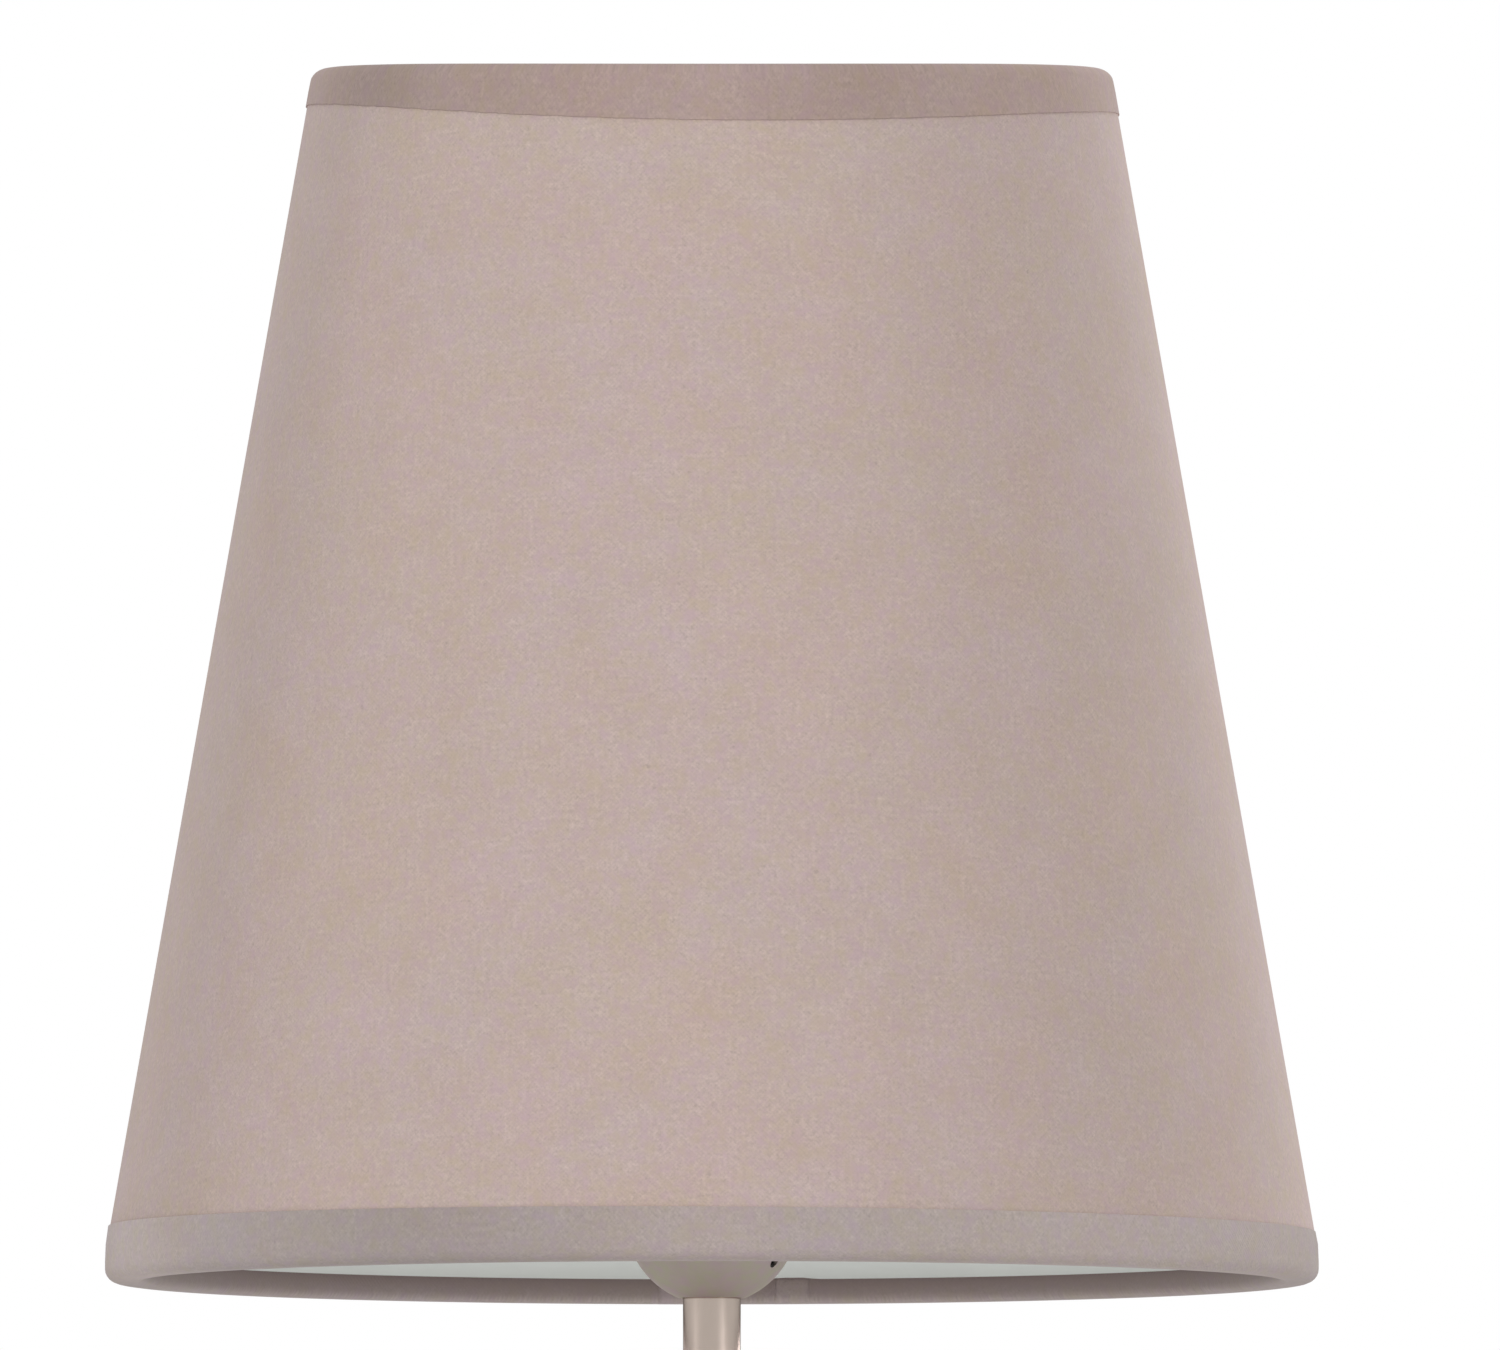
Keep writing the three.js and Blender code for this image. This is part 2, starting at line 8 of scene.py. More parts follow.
import bmesh
import bpy
from bpy.props import FloatProperty, FloatVectorProperty, IntProperty, PointerProperty
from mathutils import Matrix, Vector


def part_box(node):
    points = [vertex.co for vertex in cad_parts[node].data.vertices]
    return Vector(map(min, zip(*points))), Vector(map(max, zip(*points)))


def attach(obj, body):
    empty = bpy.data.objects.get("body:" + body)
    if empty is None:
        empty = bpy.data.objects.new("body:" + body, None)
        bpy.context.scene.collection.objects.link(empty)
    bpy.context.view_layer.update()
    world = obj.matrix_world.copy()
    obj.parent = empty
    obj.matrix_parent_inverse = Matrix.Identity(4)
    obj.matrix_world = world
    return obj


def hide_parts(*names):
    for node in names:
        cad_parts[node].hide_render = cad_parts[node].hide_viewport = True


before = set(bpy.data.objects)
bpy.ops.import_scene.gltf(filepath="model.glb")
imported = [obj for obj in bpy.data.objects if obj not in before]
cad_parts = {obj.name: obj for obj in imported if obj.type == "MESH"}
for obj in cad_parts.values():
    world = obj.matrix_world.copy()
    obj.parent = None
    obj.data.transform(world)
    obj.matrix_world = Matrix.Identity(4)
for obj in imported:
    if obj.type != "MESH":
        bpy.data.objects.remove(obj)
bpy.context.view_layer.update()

bl_info = {
    "name": "Table Lamp",
    "version": (1, 0, 0),
    "blender": (4, 5, 0),
    "location": "View3D > Sidebar > Lamp",
    "description": "Builds a small table lamp with a tapered cloth shade, piece by piece",
    "category": "Add Mesh",
}

MM = 0.001
TURN = 2 * math.pi
FRONT, BACK = -90, 90

# How near vertices are joined, in metres, and how near a place or a wall they are found, in millimetres
TOUCH = 1e-6
NEAR = 0.01
NEAR_WALL = 0.05

# The directions of the three arms, in degrees
ARM_ANGLES = (90, 210, 330)

# The folded tapes, in millimetres: the radius and length of each one's inside leg, how far round its foot
# the painted shade of the fold reaches, and where each tape's own joint lies beside the seam
TOP_LEG, BOTTOM_LEG = 62.7, 97.8
TOP_LEG_LENGTH, BOTTOM_LEG_LENGTH = 5, 4.2
FOLD_SHADE_WIDTH = 0.8
TAPE_JOINT = (11, 17)

# The ring wires: the sides of their section, and the direction of their weld in degrees
WIRE_SIDES = 16
WELD_ANGLE = 61

# The cup's locking screw: its direction in degrees and its height in millimetres
SCREW_ANGLE = -31.6
SCREW_HEIGHT = 193.4

# A thread: the rows of points to a pitch, the steps round its wave, and how far the wave swings from its
# middle, as a share of the thread's depth. What goes past 0.5 is cut off, for a flat crest and root.
THREAD_ROWS = 8
THREAD_STEPS = 24
THREAD_SWING = 0.75

# Soft bands of painted light and shade round the cloth and the tapes, lighter or darker as the lamps would
# make them: the direction from the front and the half width, both in degrees, and the change in tone
CLOTH_LIGHT_BANDS = ((-64, 12, -0.07), (36, 18, -0.06), (84, 14, 0.14))
TOP_LIGHT_BANDS = ((-58, 13, -0.2), (-30, 12, -0.06), (0, 6, 0.05), (22, 14, -0.08), (82, 18, 0.16))
BOTTOM_LIGHT_BANDS = ((-75, 14, 0.23), (-28, 16, -0.12), (0, 10, 0.04), (54, 30, 0.15))


def span(node):
    """A solid's lowest and greatest height and its radius, in millimetres."""
    low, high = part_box(node)
    return low.z / MM, high.z / MM, high.x / MM


# Sizes and colours that a user would change


def chart(red, green, blue):
    """A colour from the three numbers, 0 to 255, that a paint chart gives."""
    return [value / 255 for value in (red, green, blue)]


def size_prop(name, description, default):
    """A length, given in millimetres and kept in metres."""
    return FloatProperty(
        name=name, description=description, default=default * MM, unit="LENGTH", precision=5,
    )


def colour_prop(name, description, default):
    """A colour, given as a paint chart does."""
    return FloatVectorProperty(
        name=name, description=description, subtype="COLOR_GAMMA", size=3, min=0, max=1,
        default=chart(*default),
    )


class ShadeSettings(bpy.types.PropertyGroup):
    """Sizes and colours of the shade."""

    bottom_radius: size_prop("Bottom radius", "Outside radius of the shade's lower edge", 105)
    top_radius: size_prop("Top radius", "Outside radius of the shade's upper edge", 69)
    cloth_thickness: size_prop("Cloth thickness", "Thickness of the woven cloth", 0.5)
    film_thickness: size_prop("Film thickness", "Thickness of the white lining film", 0.7)
    tape_thickness: size_prop("Tape thickness", "Thickness of the tape folded over both edges", 0.25)
    tape_height: size_prop("Tape height", "How far the lower tape reaches up the outside", 9.2)
    wire_radius: size_prop("Wire radius", "Radius of the two ring wires", 1.5)
    top_dip: size_prop("Top dip", "How far the upper edge dips at the front and back", 2.8)
    seam_width: size_prop("Seam width", "Overlap of the cloth at the back", 9)
    thread_pitch: size_prop("Thread pitch", "Distance between two threads of the cloth", 0.42)
    sides: IntProperty(name="Sides", description="Sides of the shade's round pieces", default=192, min=48)
    cloth_colour: colour_prop("Cloth colour", "Colour of the shade's cloth", (200, 180, 172))
    top_colour: colour_prop("Top hem colour", "Colour of the tape at the upper edge", (181, 159, 151))
    bottom_colour: colour_prop("Bottom hem colour", "Colour of the tape at the lower edge", (180, 167, 163))
    film_colour: colour_prop("Film colour", "Colour of the lining film", (231, 233, 231))
    wire_colour: colour_prop("Wire colour", "Colour of the painted wire", (228, 226, 220))


class HolderSettings(bpy.types.PropertyGroup):
    """Sizes and colours of the lampholder and its shade ring."""

    skirt_pitch: size_prop("Skirt pitch", "Pitch of the skirt's outside thread", 2)
    skirt_depth: size_prop("Skirt thread depth", "Depth of the skirt's outside thread", 0.7)
    grips: IntProperty(name="Grips", description="Ridges round the shade ring", default=18, min=6)
    ribs: IntProperty(name="Ribs", description="Ribs round the lampholder's cap", default=36, min=6)
    plastic_colour: colour_prop("Plastic colour", "Colour of the white plastic", (233, 230, 222))
    brass_colour: colour_prop("Brass colour", "Colour of the bare brass", (205, 172, 98))


class BulbSettings(bpy.types.PropertyGroup):
    """Sizes and colours of the bulb."""

    pitch: size_prop("Screw pitch", "Pitch of the rolled screw thread", 2.822)
    crest: size_prop("Crest radius", "Outside radius of the cap's thread", 6.85)
    root: size_prop("Root radius", "Radius at the bottom of the cap's thread", 6.3)
    sheet: size_prop("Sheet thickness", "Thickness of the cap's and shell's metal", 0.3)
    glass_colour: colour_prop("Glass colour", "Colour of the opal glass", (243, 241, 234))


class BaseSettings(bpy.types.PropertyGroup):
    """Sizes and colours of the column and base."""

    column_radius: size_prop("Column radius", "Outside radius of the tube", span("column_tube")[2])
    # The column, cup and base share one nickel plate: the column's colour is a lighter copy as painted
    # light, the cup's a darker copy as painted shade under the hem
    column_lit_colour: colour_prop("Column colour", "Colour of the column's nickel plate", (230, 212, 203))
    cup_shaded_colour: colour_prop("Cup colour", "Colour of the cup's duller plate", (196, 187, 180))
    nickel_colour: colour_prop("Nickel colour", "Colour of the base's nickel plate", (214, 198, 188))
    felt_colour: colour_prop("Felt colour", "Colour of the felt pad", (52, 51, 50))
    iron_colour: colour_prop("Iron colour", "Colour of the cast weight", (66, 66, 68))


class StudioSettings(bpy.types.PropertyGroup):
    """Camera, light and floor."""

    distance: size_prop("Distance", "Distance of the camera from the lamp's axis", 10000)
    view_width: size_prop("View width", "Width of the picture at the lamp's axis", 259.65)
    aim_x: size_prop("Aim across", "Where the picture's centre is, across", 6.6)
    aim_z: size_prop("Aim height", "Height of the picture's centre", 295.24)
    drop: size_prop("Camera height", "Height of the camera over the table", -181)
    floor_radius: size_prop("Floor radius", "Radius of the floor", 2400)
    floor_colour: colour_prop("Floor colour", "Colour of the floor", (240, 240, 240))
    daylight: FloatProperty(name="Daylight", description="Strength of the even light", default=0.62, min=0)


# Shaders: Python's arithmetic adds the Math nodes


class Value:
    """A socket that takes part in sums."""

    def __init__(self, nodes, socket):
        self.nodes = nodes
        self.socket = socket

    def math(self, operation, *numbers):
        """One Math node, with this value first."""
        return self.nodes.sum(operation, self, *numbers)

    def __add__(self, other):
        return self.math("ADD", other)

    def __sub__(self, other):
        return self.math("SUBTRACT", other)

    def __rsub__(self, other):
        return self.nodes.sum("SUBTRACT", other, self)

    def __mul__(self, other):
        return self.math("MULTIPLY", other)

    def __truediv__(self, other):
        return self.math("DIVIDE", other)

    def __rtruediv__(self, other):
        return self.nodes.sum("DIVIDE", other, self)

    __radd__ = __add__
    __rmul__ = __mul__


class Nodes:
    """The nodes of a material or world, put together one by one round its first shader."""

    def __init__(self, owner, shader):
        owner.use_nodes = True
        self.owner = owner
        self.tree = owner.node_tree
        self.shader = self.tree.nodes[shader]

    def node(self, kind, settings=None, sockets=None, output=0):
        """Adds a node of a type, sets it, and gives its sockets their values or links."""
        made = self.tree.nodes.new(kind)
        for name, value in (settings or {}).items():
            if name == "stops":
                self.set_stops(made.color_ramp, value)
            else:
                setattr(made, name, value)
        for name, value in (sockets or {}).items():
            self.feed(made.inputs[name], value)
        return Value(self, made.outputs[output])

    def set_stops(self, ramp, stops):
        """Gives a colour ramp its stops, each a place and a grey."""
        for element, (place, grey) in zip(ramp.elements, stops):
            element.position = place
            element.color = (grey, grey, grey, 1)

    def feed(self, socket, value):
        """Links a value to a socket, or writes a number or colour there."""
        if isinstance(value, Value):
            self.tree.links.new(value.socket, socket)
        else:
            socket.default_value = value

    def sum(self, operation, *numbers):
        """One Math node."""
        return self.node("ShaderNodeMath", {"operation": operation}, dict(enumerate(numbers)))

    def dress(self, **sockets):
        """Sets the first shader's own sockets, such as base_color or coat_weight."""
        for name, value in sockets.items():
            self.feed(self.shader.inputs[name.replace("_", " ").title().replace("Ior", "IOR")], value)
        return self.owner


class Finish(Nodes):
    """A material, whose patterns follow the piece's place or its flat pattern."""

    def __init__(self, name, follows="Object"):
        super().__init__(bpy.data.materials.new(name), "Principled BSDF")
        self.place = self.coordinates(follows)

    def coordinates(self, kind):
        """The coordinates of the place or of the flat pattern."""
        return self.node("ShaderNodeTexCoord", output=kind)

    def axes(self, place):
        """A place's numbers across, along and up."""
        parted = self.node("ShaderNodeSeparateXYZ", {}, {"Vector": place})
        return [Value(self, output) for output in parted.socket.node.outputs]

    def stretch(self, scale, turn=(0, 0, 0)):
        """The place, scaled along each axis and turned."""
        return self.node("ShaderNodeMapping", {}, {"Vector": self.place, "Scale": scale, "Rotation": turn})

    def noise(self, size, detail=3, roughness=0.6, place=None, distortion=0):
        """Soft noise from 0 to 1, with spots of a size in millimetres."""
        sockets = {"Vector": place or self.place, "Scale": 1 / (size * MM), "Detail": detail}
        sockets.update({"Roughness": roughness, "Distortion": distortion})
        return self.node("ShaderNodeTexNoise", {}, sockets)

    def ramp(self, value, *stops):
        """A value spread over two stops, each a place and a grey."""
        return self.node("ShaderNodeValToRGB", {"stops": stops}, {"Fac": value})

    def spots(self, size, low, high, detail=3, roughness=0.6, place=None):
        """Noise with its contrast raised: 0 up to one level, 1 from another."""
        return self.ramp(self.noise(size, detail, roughness, place), (low, 0), (high, 1))

    def blend(self, share, first, second, way="MIX"):
        """Two colours in one."""
        settings = {"data_type": "RGBA", "blend_type": way}
        return self.node("ShaderNodeMix", settings, {0: share, 6: first, 7: second}, output=2)

    def tones(self, share, colour, first, second):
        """A colour made lighter or darker, from one factor to another."""
        return self.blend(share, linear(colour, first), linear(colour, second))

    def relief(self, height, depth, strength):
        """A Bump node, with the depth in millimetres."""
        sockets = {"Height": height, "Distance": depth * MM, "Strength": strength}
        return self.node("ShaderNodeBump", {}, sockets)


def linear(colour, factor=1.0):
    """The four numbers that a shader takes for a colour as it is written, made lighter or darker."""
    straight = [value / 12.92 if value <= 0.04045 else ((value + 0.055) / 1.055) ** 2.4 for value in colour]
    return (*[min(1.0, value * factor) for value in straight], 1)


def painted_light_bands(cloth, bands):
    """Soft bands of painted light and shade round the shade, as a factor that lightens or darkens the
    cloth.
    """
    across, along, _ = cloth.axes(cloth.coordinates("Object"))
    turn = across.math("ARCTAN2", along * -1) * math.degrees(1)
    tone = 1
    for centre, width, change in bands:
        away = (turn - centre) / width
        tone = tone + (away * away * -1).math("EXPONENT") * change
    return tone


def painted_fold_shade(cloth, radius, edge, end):
    """How far painted shade darkens a tape's inside leg, hidden in the fold: 0 outside the leg, 1 at its
    end.
    """
    x, y, z = cloth.axes(cloth.coordinates("Object"))
    distance = (x * x + y * y).math("POWER", 0.5)
    inside = ((radius + FOLD_SHADE_WIDTH) * MM - distance) / (FOLD_SHADE_WIDTH * MM)
    depth = (z - edge * MM) / ((end - edge) * MM)
    inside, depth = [share.math("MAXIMUM", 0).math("MINIMUM", 1) for share in (inside, depth)]
    return inside * (depth * 0.65 + 0.35)


def woven_cloth(name, colour, pitch, bands, leg=None):
    """Plain weave of fine, slightly uneven thread, laid out on the piece's flat pattern."""
    cloth = Finish(name, "UV")
    across, along, _ = cloth.axes(cloth.place)
    turns = TURN / (2 * pitch)
    drift = cloth.noise(6, 2, 0.5)
    weave = (across * turns + drift * 5).math("SINE") * (along * turns + drift * 4).math("SINE") * 0.5 + 0.5
    weft = cloth.noise(0.5, place=cloth.stretch((0.12, 1, 1)))
    warp = cloth.noise(0.5, place=cloth.stretch((1, 0.12, 1)))
    threads = (weft + warp) * 0.5
    fibre = cloth.noise(0.35, 3, 0.65)
    slubs = cloth.noise(0.85, 3, 0.7)
    light = cloth.ramp(weave * 0.06 + threads * 0.24 + fibre * 0.14 + slubs * 0.56, (0.35, 0), (0.65, 1))
    aslant = cloth.stretch((1, 1, 1), (0, 0, 1))
    red, green, blue = colour
    mauve = linear((red * 0.99, green * 0.955, blue * 1.03))
    olive = linear((red * 0.985, green * 0.995, blue * 0.91))
    tint = cloth.tones(light, colour, 0.83, 1.18)
    tint = cloth.blend(cloth.spots(2.6, 0.46, 0.64) * 0.6, tint, mauve)
    tint = cloth.blend(cloth.spots(3.2, 0.48, 0.66, place=aslant) * 0.5, tint, olive)
    for place, size, first, second in (
        (cloth.place, 13, (0.985, 0.98, 0.96, 1), (1.015, 1.02, 1.04, 1)),
        (aslant, 24, (1.012, 0.998, 1, 1), (0.988, 1.002, 1, 1)),
        (aslant, 34, (1, 1, 0.97, 1), (1, 1, 1.03, 1)),
    ):
        patches = cloth.spots(size, 0.35, 0.65, 3, 0.55, place)
        tint = cloth.blend(1.0, tint, cloth.blend(patches, first, second), "MULTIPLY")
    tint = cloth.blend(cloth.spots(1.3, 0.68, 0.76, 2, 0.5, aslant) * 0.5, tint, linear(colour, 0.72))
    # painted light and shade: the bands lighten and darken the cloth as the lamps would
    tint = cloth.blend(1.0, tint, painted_light_bands(cloth, bands), "MULTIPLY")
    # painted shade: the tape's inside leg is darkened where the fold keeps the light off it
    if leg:
        tint = cloth.blend(painted_fold_shade(cloth, *leg), tint, linear((red * 0.7, green * 0.66, blue * 0.66)))
    return cloth.dress(
        base_color=tint, roughness=0.82 + light * 0.12, sheen_weight=0.12, sheen_roughness=0.6,
        normal=cloth.relief(weave * 0.35 + threads * 0.5 + slubs * 0.4, 0.14, 0.5), specular_ior_level=0.25,
    )


def lining_film(name, colour):
    """White plastic film, laminated, with the cloth's weave just printing through, and a painted glow."""
    film = Finish(name)
    press = film.noise(0.9, 2, 0.5)
    return film.dress(
        base_color=film.tones(film.noise(28, 3, 0.5), colour, 0.94, 1.03), roughness=0.5 + press * 0.12,
        normal=film.relief(press, 0.05, 0.5), specular_ior_level=0.35,
        # painted light: a faint glow stands in for the light that comes through the cloth
        emission_color=linear(colour), emission_strength=0.17,
    )


def painted_wire(name, colour):
    """Baked white paint over drawn wire, thinner on the crests."""
    enamel = Finish(name)
    skin = enamel.noise(1.2, 3, 0.55)
    wear = enamel.spots(7, 0.62, 0.74, 4, 0.65)
    return enamel.dress(
        base_color=enamel.tones(wear * 0.35, colour, 1, 0.72), roughness=0.34 + skin * 0.2,
        normal=enamel.relief(skin, 0.06, 0.6), coat_weight=0.12, coat_roughness=0.2,
    )


def satin_nickel(name, colour, polish, tarnish=0.0, rim=1.0):
    """Nickel plate brushed lengthwise, with faint marks and some tarnish, darker where it turns away."""
    nickel = Finish(name)
    lines = nickel.noise(0.12, place=nickel.stretch((1, 1, 0.02)))
    marks = nickel.spots(7, 0.5, 0.75, 3, 0.5)
    tint = nickel.tones(nickel.noise(14, 3, 0.5), colour, 0.9, 1.06)
    if tarnish:
        stains = nickel.spots(3.4, 0.38, 0.62)
        stains = nickel.blend(stains, (1.04, 0.93, 1.06, 1), (0.98, 1.04, 0.86, 1))
        tint = nickel.blend(tarnish, tint, nickel.blend(1.0, tint, stains, "MULTIPLY"))
    return nickel.dress(
        base_color=tint, metallic=1.0, roughness=polish + lines * 0.1 + marks * 0.08,
        normal=nickel.relief(lines, 0.01, 0.35), anisotropic=0.3, specular_tint=(rim, rim, rim, 1),
    )


def bare_metal(name, colour, polish, grain=0.9):
    """Plain metal, rolled or turned, with fine scratches and a dull bloom here and there."""
    metal = Finish(name)
    scratches = metal.noise(grain, 4, 0.65, metal.stretch((1, 1, 6)))
    bloom = metal.spots(5, 0.45, 0.7, 4)
    return metal.dress(
        base_color=metal.tones(bloom, colour, 1, 0.72), metallic=1.0,
        roughness=polish + scratches * 0.16 + bloom * 0.12, normal=metal.relief(scratches, 0.015, 0.5),
    )


def moulded_plastic(name, colour, polish):
    """Moulded plastic with a fine spark-eroded grain."""
    plastic = Finish(name)
    grain = plastic.noise(0.25, 2, 0.5)
    return plastic.dress(
        base_color=plastic.tones(plastic.noise(9, 3, 0.5), colour, 0.95, 1.03),
        roughness=polish + grain * 0.12, normal=plastic.relief(grain, 0.02, 0.5),
    )


def opal_glass(name, colour):
    """Glass with a white coating on its inside, smooth outside."""
    glass = Finish(name)
    cloud = glass.noise(16, 2, 0.5)
    return glass.dress(
        base_color=glass.tones(cloud, colour, 0.96, 1.01), roughness=0.1 + cloud * 0.06,
        normal=glass.relief(glass.noise(7, 1, 0.4), 0.03, 0.4),
        coat_weight=0.4, coat_roughness=0.05, subsurface_weight=0.15,
    )


def black_glass(name):
    """Fused black glass, with a few fine bubbles."""
    glass = Finish(name)
    pits = glass.spots(0.5, 0.3, 0.5, 2, 0.5)
    return glass.dress(
        base_color=glass.blend(pits, (0.012, 0.011, 0.014, 1), (0.006, 0.006, 0.007, 1)),
        roughness=0.3 - pits * 0.12, normal=glass.relief(pits, 0.04, 0.6),
    )


def cast_iron(name, colour):
    """Sand-cast iron with its pitted skin."""
    iron = Finish(name)
    sand = iron.noise(0.7, 4, 0.7)
    pits = iron.spots(2.2, 0.36, 0.48)
    rust = iron.spots(12, 0.58, 0.78, 4)
    return iron.dress(
        base_color=iron.blend(rust * 0.45, iron.tones(sand, colour, 0.75, 1.2), (0.115, 0.055, 0.03, 1)),
        metallic=0.5, roughness=0.62 + sand * 0.25, normal=iron.relief(sand * 0.6 + pits * 0.4, 0.25, 0.8),
    )


def pressed_felt(name, colour):
    """Dark felt of short matted fibres."""
    felt = Finish(name)
    mat = felt.noise(0.8, 5, 0.75, distortion=0.6)
    tufts = felt.noise(5)
    return felt.dress(
        base_color=felt.tones(mat * 0.7 + tufts * 0.3, colour, 0.6, 1.5), roughness=0.92 + mat * 0.06,
        normal=felt.relief(mat, 0.3, 0.8), sheen_weight=0.35, sheen_roughness=0.5, specular_ior_level=0.2,
    )


# Modelling by hand


def leave():
    """Leaves edit mode."""
    bpy.ops.object.mode_set(mode="OBJECT")


def begin():
    """Leaves edit mode if it is on, and lets go of everything."""
    if bpy.context.object and bpy.context.object.mode != "OBJECT":
        leave()
    bpy.ops.object.select_all(action="DESELECT")


def take(*pieces):
    """Selects pieces, the first as the active one."""
    begin()
    for piece in pieces:
        piece.select_set(True)
    bpy.context.view_layer.objects.active = pieces[0]


def settle():
    """Puts the selected objects' place into their meshes."""
    bpy.ops.object.transform_apply(location=True, rotation=True, scale=True)


def select(action="SELECT"):
    """Selects the whole mesh, or lets go of it."""
    bpy.ops.mesh.select_all(action=action)


def edit(piece):
    """Goes into a piece's edit mode with nothing selected."""
    take(piece)
    bpy.ops.object.mode_set(mode="EDIT")
    select("DESELECT")


def edit_new():
    """Puts the new object's place into its mesh, and edits it with everything selected."""
    settle()
    edit(bpy.context.object)
    select()


def pick(test, kind="verts"):
    """Selects the vertices or faces whose place, in millimetres, passes a test, and counts them."""
    work = bmesh.from_edit_mesh(bpy.context.object.data)
    select("DESELECT")
    found = 0
    for part in getattr(work, kind):
        spot = part.co if kind == "verts" else part.calc_center_median()
        if test(spot / MM):
            part.select_set(True)
            found += 1
    if kind == "verts":
        work.select_flush_mode()
    bmesh.update_edit_mesh(bpy.context.object.data)
    return found


def lift(height):
    """Moves what is selected up."""
    bpy.ops.transform.translate(value=(0, 0, height * MM))


def widen(factor):
    """Scales what is selected away from the lamp's axis."""
    bpy.ops.transform.resize(value=(factor, factor, 1), center_override=(0, 0, 0))


def swing(degrees, axis="Z"):
    """Turns what is selected. Without a window the operator turns the other way, hence the minus."""
    bpy.ops.transform.rotate(value=-math.radians(degrees), orient_axis=axis, center_override=(0, 0, 0))


def extrude(x, y, z):
    """Extrudes what is selected."""
    bpy.ops.mesh.extrude_region_move(TRANSFORM_OT_translate={"value": (x * MM, y * MM, z * MM)})


def tidy_faces():
    """Joins doubled vertices and turns all faces outwards."""
    select()
    bpy.ops.mesh.remove_doubles(threshold=TOUCH)
    bpy.ops.mesh.normals_make_consistent(inside=False)


def finished(name):
    """Leaves edit mode and names the piece."""
    leave()
    piece = bpy.context.object
    piece.name = name
    piece.data.name = name
    return piece


def draw_line(points):
    """Draws an outline by extruding one vertex from point to point, then rounds the marked corners."""
    begin()
    radius, height = points[0][:2]
    bpy.ops.mesh.primitive_plane_add(size=MM, calc_uvs=False, location=(radius * MM, 0, height * MM))
    edit_new()
    bpy.ops.mesh.merge(type="CENTER")
    for point in points[1:]:
        extrude(point[0] - radius, 0, point[1] - height)
        radius, height = point[:2]
    select()
    bpy.ops.mesh.remove_doubles(threshold=TOUCH)
    for radius, height, *rounding in points:
        if rounding:
            corner = Vector((radius, 0, height))
            pick(lambda spot: (spot - corner).length < NEAR)
            bpy.ops.mesh.bevel(
                offset=rounding[0] * MM, offset_type="OFFSET", segments=3 if rounding[0] < 1 else 6,
                affect="VERTICES",
            )


def turned(name, points, sides=96, closed=True):
    """Turns half a section round the lamp's axis. A point is a radius, a height and a corner's rounding."""
    draw_line([*points, points[0][:2]] if closed else points)
    select()
    bpy.ops.mesh.spin(steps=sides, angle=TURN, center=(0, 0, 0), axis=(0, 0, 1))
    tidy_faces()
    return finished(name)


def bow(radius, height, size, start, end, steps):
    """Points of an arc, in degrees from the outward direction."""
    angles = [math.radians(start + (end - start) * step / steps) for step in range(steps + 1)]
    return [(radius + size * math.cos(angle), height + size * math.sin(angle)) for angle in angles]


def rise(radius, low, high, steps):
    """Points straight up a wall, or down it."""
    return [(radius, low + (high - low) * step / steps) for step in range(steps + 1)]


def modify(piece, kind, **settings):
    """Gives a piece a modifier and applies it."""
    take(piece)
    bpy.ops.object.modifier_add(type=kind)
    modifier = piece.modifiers[-1]
    for name, value in settings.items():
        setattr(modifier, name, value)
    bpy.ops.object.modifier_apply(modifier=modifier.name)


def thicken(piece, thickness, offset=-1):
    """Gives a sheet its thickness, in metres, inwards or outwards."""
    modify(piece, "SOLIDIFY", thickness=thickness, offset=offset)


def soften(piece, width, degrees):
    """Rounds the edges that turn more than an angle."""
    limit = math.radians(degrees)
    modify(piece, "BEVEL", width=width * MM, segments=2, limit_method="ANGLE", angle_limit=limit)


def carve(piece, cutter):
    """Cuts one piece with another, which is then taken away."""
    modify(piece, "BOOLEAN", operation="DIFFERENCE", object=cutter, solver="EXACT")
    bpy.data.objects.remove(cutter)


def peg(name, size, near, far, sides, angle, height):
    """A round peg that points outwards from the axis."""
    turn, middle = math.radians(angle), (near + far) / 2
    begin()
    bpy.ops.mesh.primitive_cylinder_add(
        vertices=sides, radius=size * MM, depth=(far - near) * MM,
        location=(middle * math.cos(turn) * MM, middle * math.sin(turn) * MM, height * MM),
        rotation=(0, math.pi / 2, turn),
    )
    settle()
    return finished(name)


def azimuth(spot):
    """The direction of a place round the axis, in degrees."""
    return math.degrees(math.atan2(spot.y, spot.x))


def reach(spot):
    """The distance of a place from the axis."""
    return math.hypot(spot.x, spot.y)


def past(first, second):
    """How far one direction lies past another, from -180 to 180 degrees."""
    return (first - second + 180) % 360 - 180


def apart(first, second):
    """The angle between two directions, in degrees."""
    return abs(past(first, second))


def thread_wall(radius, low, high, pitch):
    """Points up a wall that gets a thread, all at whole parts of its pitch."""
    row = pitch / THREAD_ROWS
    first = math.ceil(low / row) * row
    rows = math.floor((high - first) / row)
    return rise(radius, first, first + rows * row, rows)


def roll_thread(piece, low, high, pitch, wall, crest, root):
    """Rolls a right-hand thread into a turned wall of a radius, between two heights."""
    edit(piece)
    for step in range(THREAD_STEPS):
        wave = 0.5 + THREAD_SWING * math.cos(TURN * step / THREAD_STEPS)
        radius = root + (crest - root) * min(1.0, max(0.0, wave))

        def on_step(spot):
            if not low < spot.z < high or abs(reach(spot) - wall) > NEAR_WALL:
                return False
            phase = (spot.z / pitch - azimuth(spot) / 360) * THREAD_STEPS
            return round(phase) % THREAD_STEPS == step

        if pick(on_step):
            widen(radius / wall)
    leave()


def flute(piece, low, high, radius, count, factor):
    """Presses grooves into the outside of a turned wall, evenly round it."""
    edit(piece)
    pick(lambda spot: low < spot.z < high and reach(spot) > radius
         and (azimuth(spot) / 360 * count + 0.01) % 1 < 0.5)
    widen(factor)
    leave()


